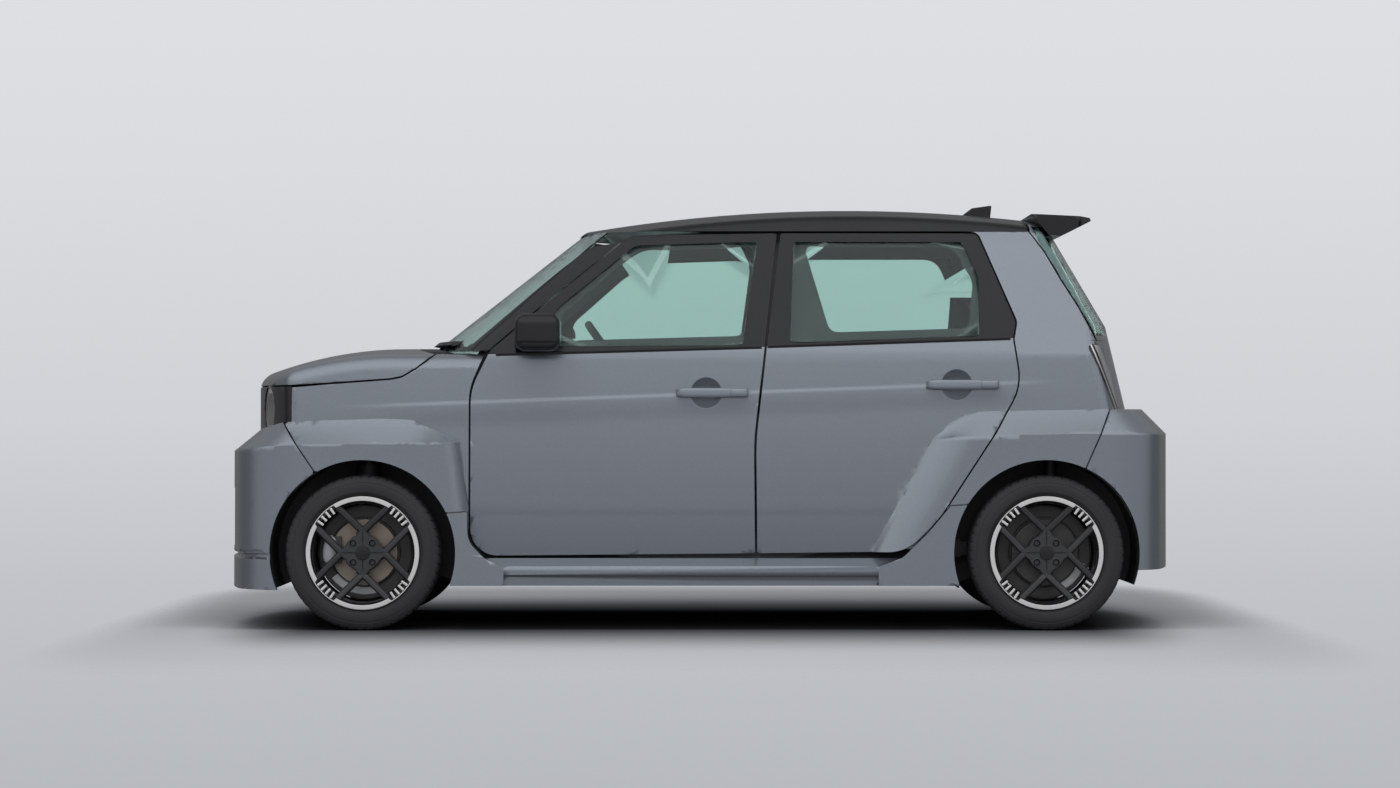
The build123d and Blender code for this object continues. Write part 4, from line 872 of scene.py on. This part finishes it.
for end, centreX in (("front", frontX), ("rear", rearX)):
    for sideName, side in (("left", 1), ("right", -1)):
        corner = f"{end}_{sideName}"
        tread = [(turned(tyreProfile(), centreX, side, tyreLook["steps"], treadDrop), "rubber")]
        tyre = makePiece(f"tyre_{corner}_tread", tread, "roller_" + corner, 28.0, ("rubber",))
        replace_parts(tyre, "tyre_" + corner)
        wheel = makePiece(f"wheel_{corner}_cast", wheelGrids(centreX, side), "roller_" + corner, 30.0,
                          ("machined", "spoke", "gloss", "disc", "iron", "steel"))
        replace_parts(wheel, "wheel_" + corner)
        fixed = shieldLook[end]["body"] + (sideName if end == "front" else "")
        behind = shieldGrids(end, centreX, side) + ([(caliperGrid(centreX, side), "cast")] if end == "front" else [])
        makePiece("brake_shield_" + corner, behind, fixed, 35.0, ("iron", "cast"))
        liner = [(linerGrid(centreX, side), "plastic")]
        makePiece("arch_liner_" + corner, liner, "body_shell", 40.0, ("plastic",))
print("wheels and tyres made")


# Padded seats: a closed crowned form from a side outline; its sides pull in, and seams run along it
seatLook = {"seam": 0.007, "seamWide": 0.028, "fullness": 0.28}


# out = outline from its middle, drawn in by fullness where edge falls off to the sides, plus
# swell * (1 - share^2), less a dip at each sewn channel
def padGrid(rows, low, high, corner, swell, channels=()):
    outline = loop(rows, corner, 10)
    middle = outline.mean(axis=0)
    share = np.sin(np.linspace(-1, 1, 51) * math.pi / 2)
    across = (low + high) / 2 + (high - low) / 2 * share
    edge = (1 - np.abs(share) ** 7) ** 0.5
    full = 1 - (1 - edge) * seatLook["fullness"]
    out = (outline - middle)[:, None, :] * full[None, :, None]
    length = np.linalg.norm(out, axis=2, keepdims=True)
    puff = swell * (1 - share ** 2)[None, :, None]
    dip = 0 * share
    for place in channels:
        dip = dip + seatLook["seam"] * np.exp(-((share - place) / seatLook["seamWide"]) ** 2)
    out = out * (1 + (puff - dip[None, :, None]) / np.maximum(length, 0.02))
    spot = middle + out
    y = np.broadcast_to(across[None, :], spot.shape[:2])
    points = np.stack([spot[..., 0], y, spot[..., 1]], axis=-1)
    count = points.shape[0]
    caps = np.broadcast_to(np.array([middle[0], 0, middle[1]]), (count, 2, 3)).copy()
    caps[:, 0, 1], caps[:, 1, 1] = low, high
    points = np.concatenate([caps[:, :1], points, caps[:, 1:]], axis=1)
    return gridMesh(points, roundRows=True, flip=True)


# Each pad: its side outline, the corners' size, swell, and where its sewn channels are; then each pad's two sides
pads = {"front": {"cushion": ([(0.135, 0.352), (0.142, 0.500), (0.100, 0.548), (-0.225, 0.508), (-0.318, 0.492),
                               (-0.330, 0.352)], 0.060, 0.006, (-0.55, 0.55)),
                  "back": ([(-0.245, 0.505), (-0.333, 1.075), (-0.360, 1.095), (-0.410, 1.090), (-0.375, 0.500)],
                           0.045, 0.008, (-0.55, 0.55)),
                  "head": ([(-0.350, 1.115), (-0.352, 1.262), (-0.372, 1.276), (-0.428, 1.270), (-0.420, 1.120)],
                           0.035, 0.006, ())},
        "bench": {"cushion": ([(-0.525, 0.352), (-0.515, 0.500), (-0.560, 0.550), (-0.880, 0.512), (-0.880, 0.352)],
                              0.050, 0.006, (-0.42, 0.42)),
                  "back": ([(-0.850, 0.508), (-0.985, 0.962), (-1.010, 0.975), (-1.050, 0.968), (-0.950, 0.505)],
                           0.045, 0.006, (-0.42, 0.42))}}
places = [("front", "cushion", "left", 0.115, 0.575), ("front", "back", "left", 0.115, 0.575),
          ("front", "head", "left", 0.235, 0.465), ("front", "cushion", "right", -0.575, -0.115),
          ("front", "back", "right", -0.575, -0.115), ("front", "head", "right", -0.465, -0.235),
          ("bench", "cushion", "", -0.585, 0.585), ("bench", "back", "", -0.410, 0.410)]
for end, part, sideName, low, high in places:
    rows, corner, swell, channels = pads[end][part]
    name = "_".join(word for word in (end, "seat", part, sideName) if word)
    grids = [(padGrid(rows, low, high, corner, swell, channels), "fabric")]
    pad = makePiece(name, grids, "body_shell", 60.0, ("fabric",))
    if part == "cushion":
        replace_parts(pad, "front_seats" if end == "front" else "rear_bench")


# Rounded block between two corners, for what stands under or behind the pads
def blockGrid(low, high, power=0.25):
    low, high = np.array(low), np.array(high)
    s = np.array([0.0, 0.0, 0.02, 0.06, 0.5, 0.94, 0.98, 1.0, 1.0])[:, None]
    full = np.array([0.0, 0.90, 0.97, 1.0, 1.0, 1.0, 0.97, 0.90, 0.0])[:, None]
    t = np.linspace(0, 2 * math.pi, 48, endpoint=False)
    middle, half = (low + high) / 2, (high - low) / 2
    x = middle[0] + half[0] * full * rounded(np.cos(t), power)
    y = middle[1] + half[1] * full * rounded(np.sin(t), power)
    return surface(x, y, low[2] + (high[2] - low[2]) * s, roundColumns=True)


bases = [((-0.330, 0.165, 0.2905), (0.115, 0.525, 0.362)), ((-0.330, -0.525, 0.2905), (0.115, -0.165, 0.362)),
         ((-0.830, -0.500, 0.2905), (-0.575, 0.500, 0.362)), ((-0.392, 0.270, 1.070), (-0.380, 0.282, 1.135)),
         ((-0.392, 0.418, 1.070), (-0.380, 0.430, 1.135)), ((-0.392, -0.282, 1.070), (-0.380, -0.270, 1.135)),
         ((-0.392, -0.430, 1.070), (-0.380, -0.418, 1.135)), ((-1.060, 0.405, 0.690), (-0.960, 0.578, 0.965)),
         ((-1.060, -0.578, 0.690), (-0.960, -0.405, 0.965))]
blocks = [(blockGrid(*corners), "cabin") for corners in bases]
makePiece("seat_bases", blocks, "body_shell", 40.0, ("cabin",))
print("seats made")


# The room: a pale floor that fades into the backdrop, with a painted shadow darkening its colour under the object,
# soft lamps from the camera's side, camera
room = {"size": 30.0, "fadeX": (1.80, 2.30), "fadeY": (1.7, 3.4), "floor": (0.455, 0.466, 0.488, 1),
        # This line: the painted shadow's footprint half sizes along x and y, its soft reach outside them, and its
        # darkness as a share of the floor's colour
        "foot": (1.42, 0.45), "footSoft": (0.45, 1.7), "footTone": 0.08,
        "backdrop": [(0.0, (0.46, 0.475, 0.50)), (0.30, (0.535, 0.55, 0.58)), (0.5, (0.625, 0.64, 0.67)),
                     (0.80, (0.70, 0.712, 0.74)), (1.0, (0.73, 0.74, 0.77))],
        "mirrored": [(0.0, (0.10, 0.10, 0.11)), (0.42, (0.16, 0.165, 0.175)), (0.475, (0.46, 0.47, 0.49)),
                     (0.52, (0.62, 0.63, 0.66)), (0.60, (0.66, 0.67, 0.70)), (0.80, (1.15, 1.16, 1.19)),
                     (1.0, (0.90, 0.91, 0.94))],
        "soft": [(0.0, (0.10, 0.10, 0.11)), (0.48, (0.22, 0.225, 0.235)), (0.60, (0.42, 0.43, 0.45)),
                 (1.0, (0.60, 0.60, 0.61))],
        "farMirror": 0.25, "farSoft": 0.45, "far": (-0.35, 0.25), "edge": 0.11}


def plane(name, corners, look):
    mesh = bpy.data.meshes.new(name)
    mesh.from_pydata(corners, [], [tuple(range(len(corners)))])
    mesh.materials.append(look)
    piece = bpy.data.objects.new(name, mesh)
    collection.objects.link(piece)
    return piece


# Painted shadow: the floor's colour is darkened to a shadow tone inside the object's footprint, and goes back to the
# plain floor colour over a soft reach outside it
def floorPaintedShadowNodes(start):
    place, x, y, z = axes(start)
    tone = noise(place, 0.6, 2.0)

    # squares of how far a place lies beyond start, as shares of length, along x and y together
    def beyond(starts, lengths):
        total = 0.0
        for axis, limit, length in zip((x, y), starts, lengths):
            over = ((axis.apply("ABSOLUTE") - limit) / length).apply("MAXIMUM", 0.0)
            total = over * over + total
        return total

    (fromX, toX), (fromY, toY) = room["fadeX"], room["fadeY"]
    spread = beyond((fromX, fromY), (toX - fromX, toY - fromY))
    away = beyond(room["foot"], room["footSoft"]).apply("SQRT")
    # The painted shadow's colour, and the plain floor's colour with its random tone
    dark, pale = toned(room["floor"], room["footTone"]), tone.mix(toned(room["floor"], 0.985), room["floor"])
    return {"Base Color": away.smooth(0.0, 1.0).mix(dark, pale), "Alpha": 1.0 - spread.smooth(0.0, 1.0)}


half = room["size"] / 2
floorLook = finish("paleFloorPaintedShadow", {"Roughness": 1.0, "Specular IOR Level": 0.0}, floorPaintedShadowNodes)
plane("studioFloor", [(-half, -half, 0), (half, -half, 0), (half, half, 0), (-half, half, 0)], floorLook)

world = bpy.data.worlds.new("softRoom")
bpy.context.scene.world = world
world.use_nodes = True
tree = world.node_tree
background = tree.nodes["Background"]
start = Wire(tree)
rayNode = start.add("LightPath").socket.node
seen = Wire(tree, rayNode.outputs["Is Camera Ray"])
seen = seen.apply("MAXIMUM", Wire(tree, rayNode.outputs["Is Transmission Ray"]))
glossy = Wire(tree, rayNode.outputs["Is Glossy Ray"])
place = start.add("TexCoord", output=0)
split = place.add("SeparateXYZ", None, {0: place}).socket.node
height, towards = Wire(tree, split.outputs[2]), Wire(tree, split.outputs[1])


def ramp(value, stops):
    return value.add("ValToRGB", {"stops": stops}, {"Fac": value})


# Towards the far side the room is darker: colour * (low + (1 - low) * share)
def dimmed(colour, share, low):
    level = share * (1 - low) + low
    grey = start.add("CombineXYZ", None, {0: level, 1: level, 2: level})
    return start.add("VectorMath", {"operation": "MULTIPLY"}, {0: colour, 1: grey})


backdrop = ramp((height + room["edge"]) / (2 * room["edge"]), room["backdrop"])
near = towards.smooth(*room["far"])
mirrored = dimmed(ramp((height + 1.0) / 2.0, room["mirrored"]), near, room["farMirror"])
soft = dimmed(ramp((height + 1.0) / 2.0, room["soft"]), near, room["farSoft"])
light = glossy.mix(soft, mirrored)
tree.links.new(seen.mix(light, backdrop).socket, background.inputs["Color"])
background.inputs["Strength"].default_value = 1.0


def lamp(name, place, aim, size, power):
    light = bpy.data.lights.new(name, "AREA")
    light.shape = "RECTANGLE"
    light.size, light.size_y = size
    light.energy = power
    item = bpy.data.objects.new(name, light)
    item.location = place
    item.rotation_euler = (Vector(aim) - Vector(place)).to_track_quat("-Z", "Y").to_euler()
    item.visible_glossy = False
    collection.objects.link(item)


lamp("overhead", (0, 3.2, 5.5), (0, 0, 0), (8.0, 3.0), 230.0)
lamp("sideSoft", (0.5, 8.5, 3.0), (0, 0, 0.8), (9.0, 2.4), 260.0)

cameraPlace = {"away": 14.6, "height": 0.776, "tilt": 0.3965, "lens": 96.6}
camera = bpy.data.cameras.new("sideCamera")
camera.lens = cameraPlace["lens"]
camera.sensor_width = 36.0
camera.clip_end = 200.0
cameraItem = bpy.data.objects.new("sideCamera", camera)
cameraItem.location = (0, cameraPlace["away"], cameraPlace["height"])
cameraItem.rotation_euler = (math.radians(90 + cameraPlace["tilt"]), 0, math.pi)
collection.objects.link(cameraItem)
bpy.context.scene.camera = cameraItem
bpy.context.scene.view_settings.view_transform = "Standard"
print("room ready")
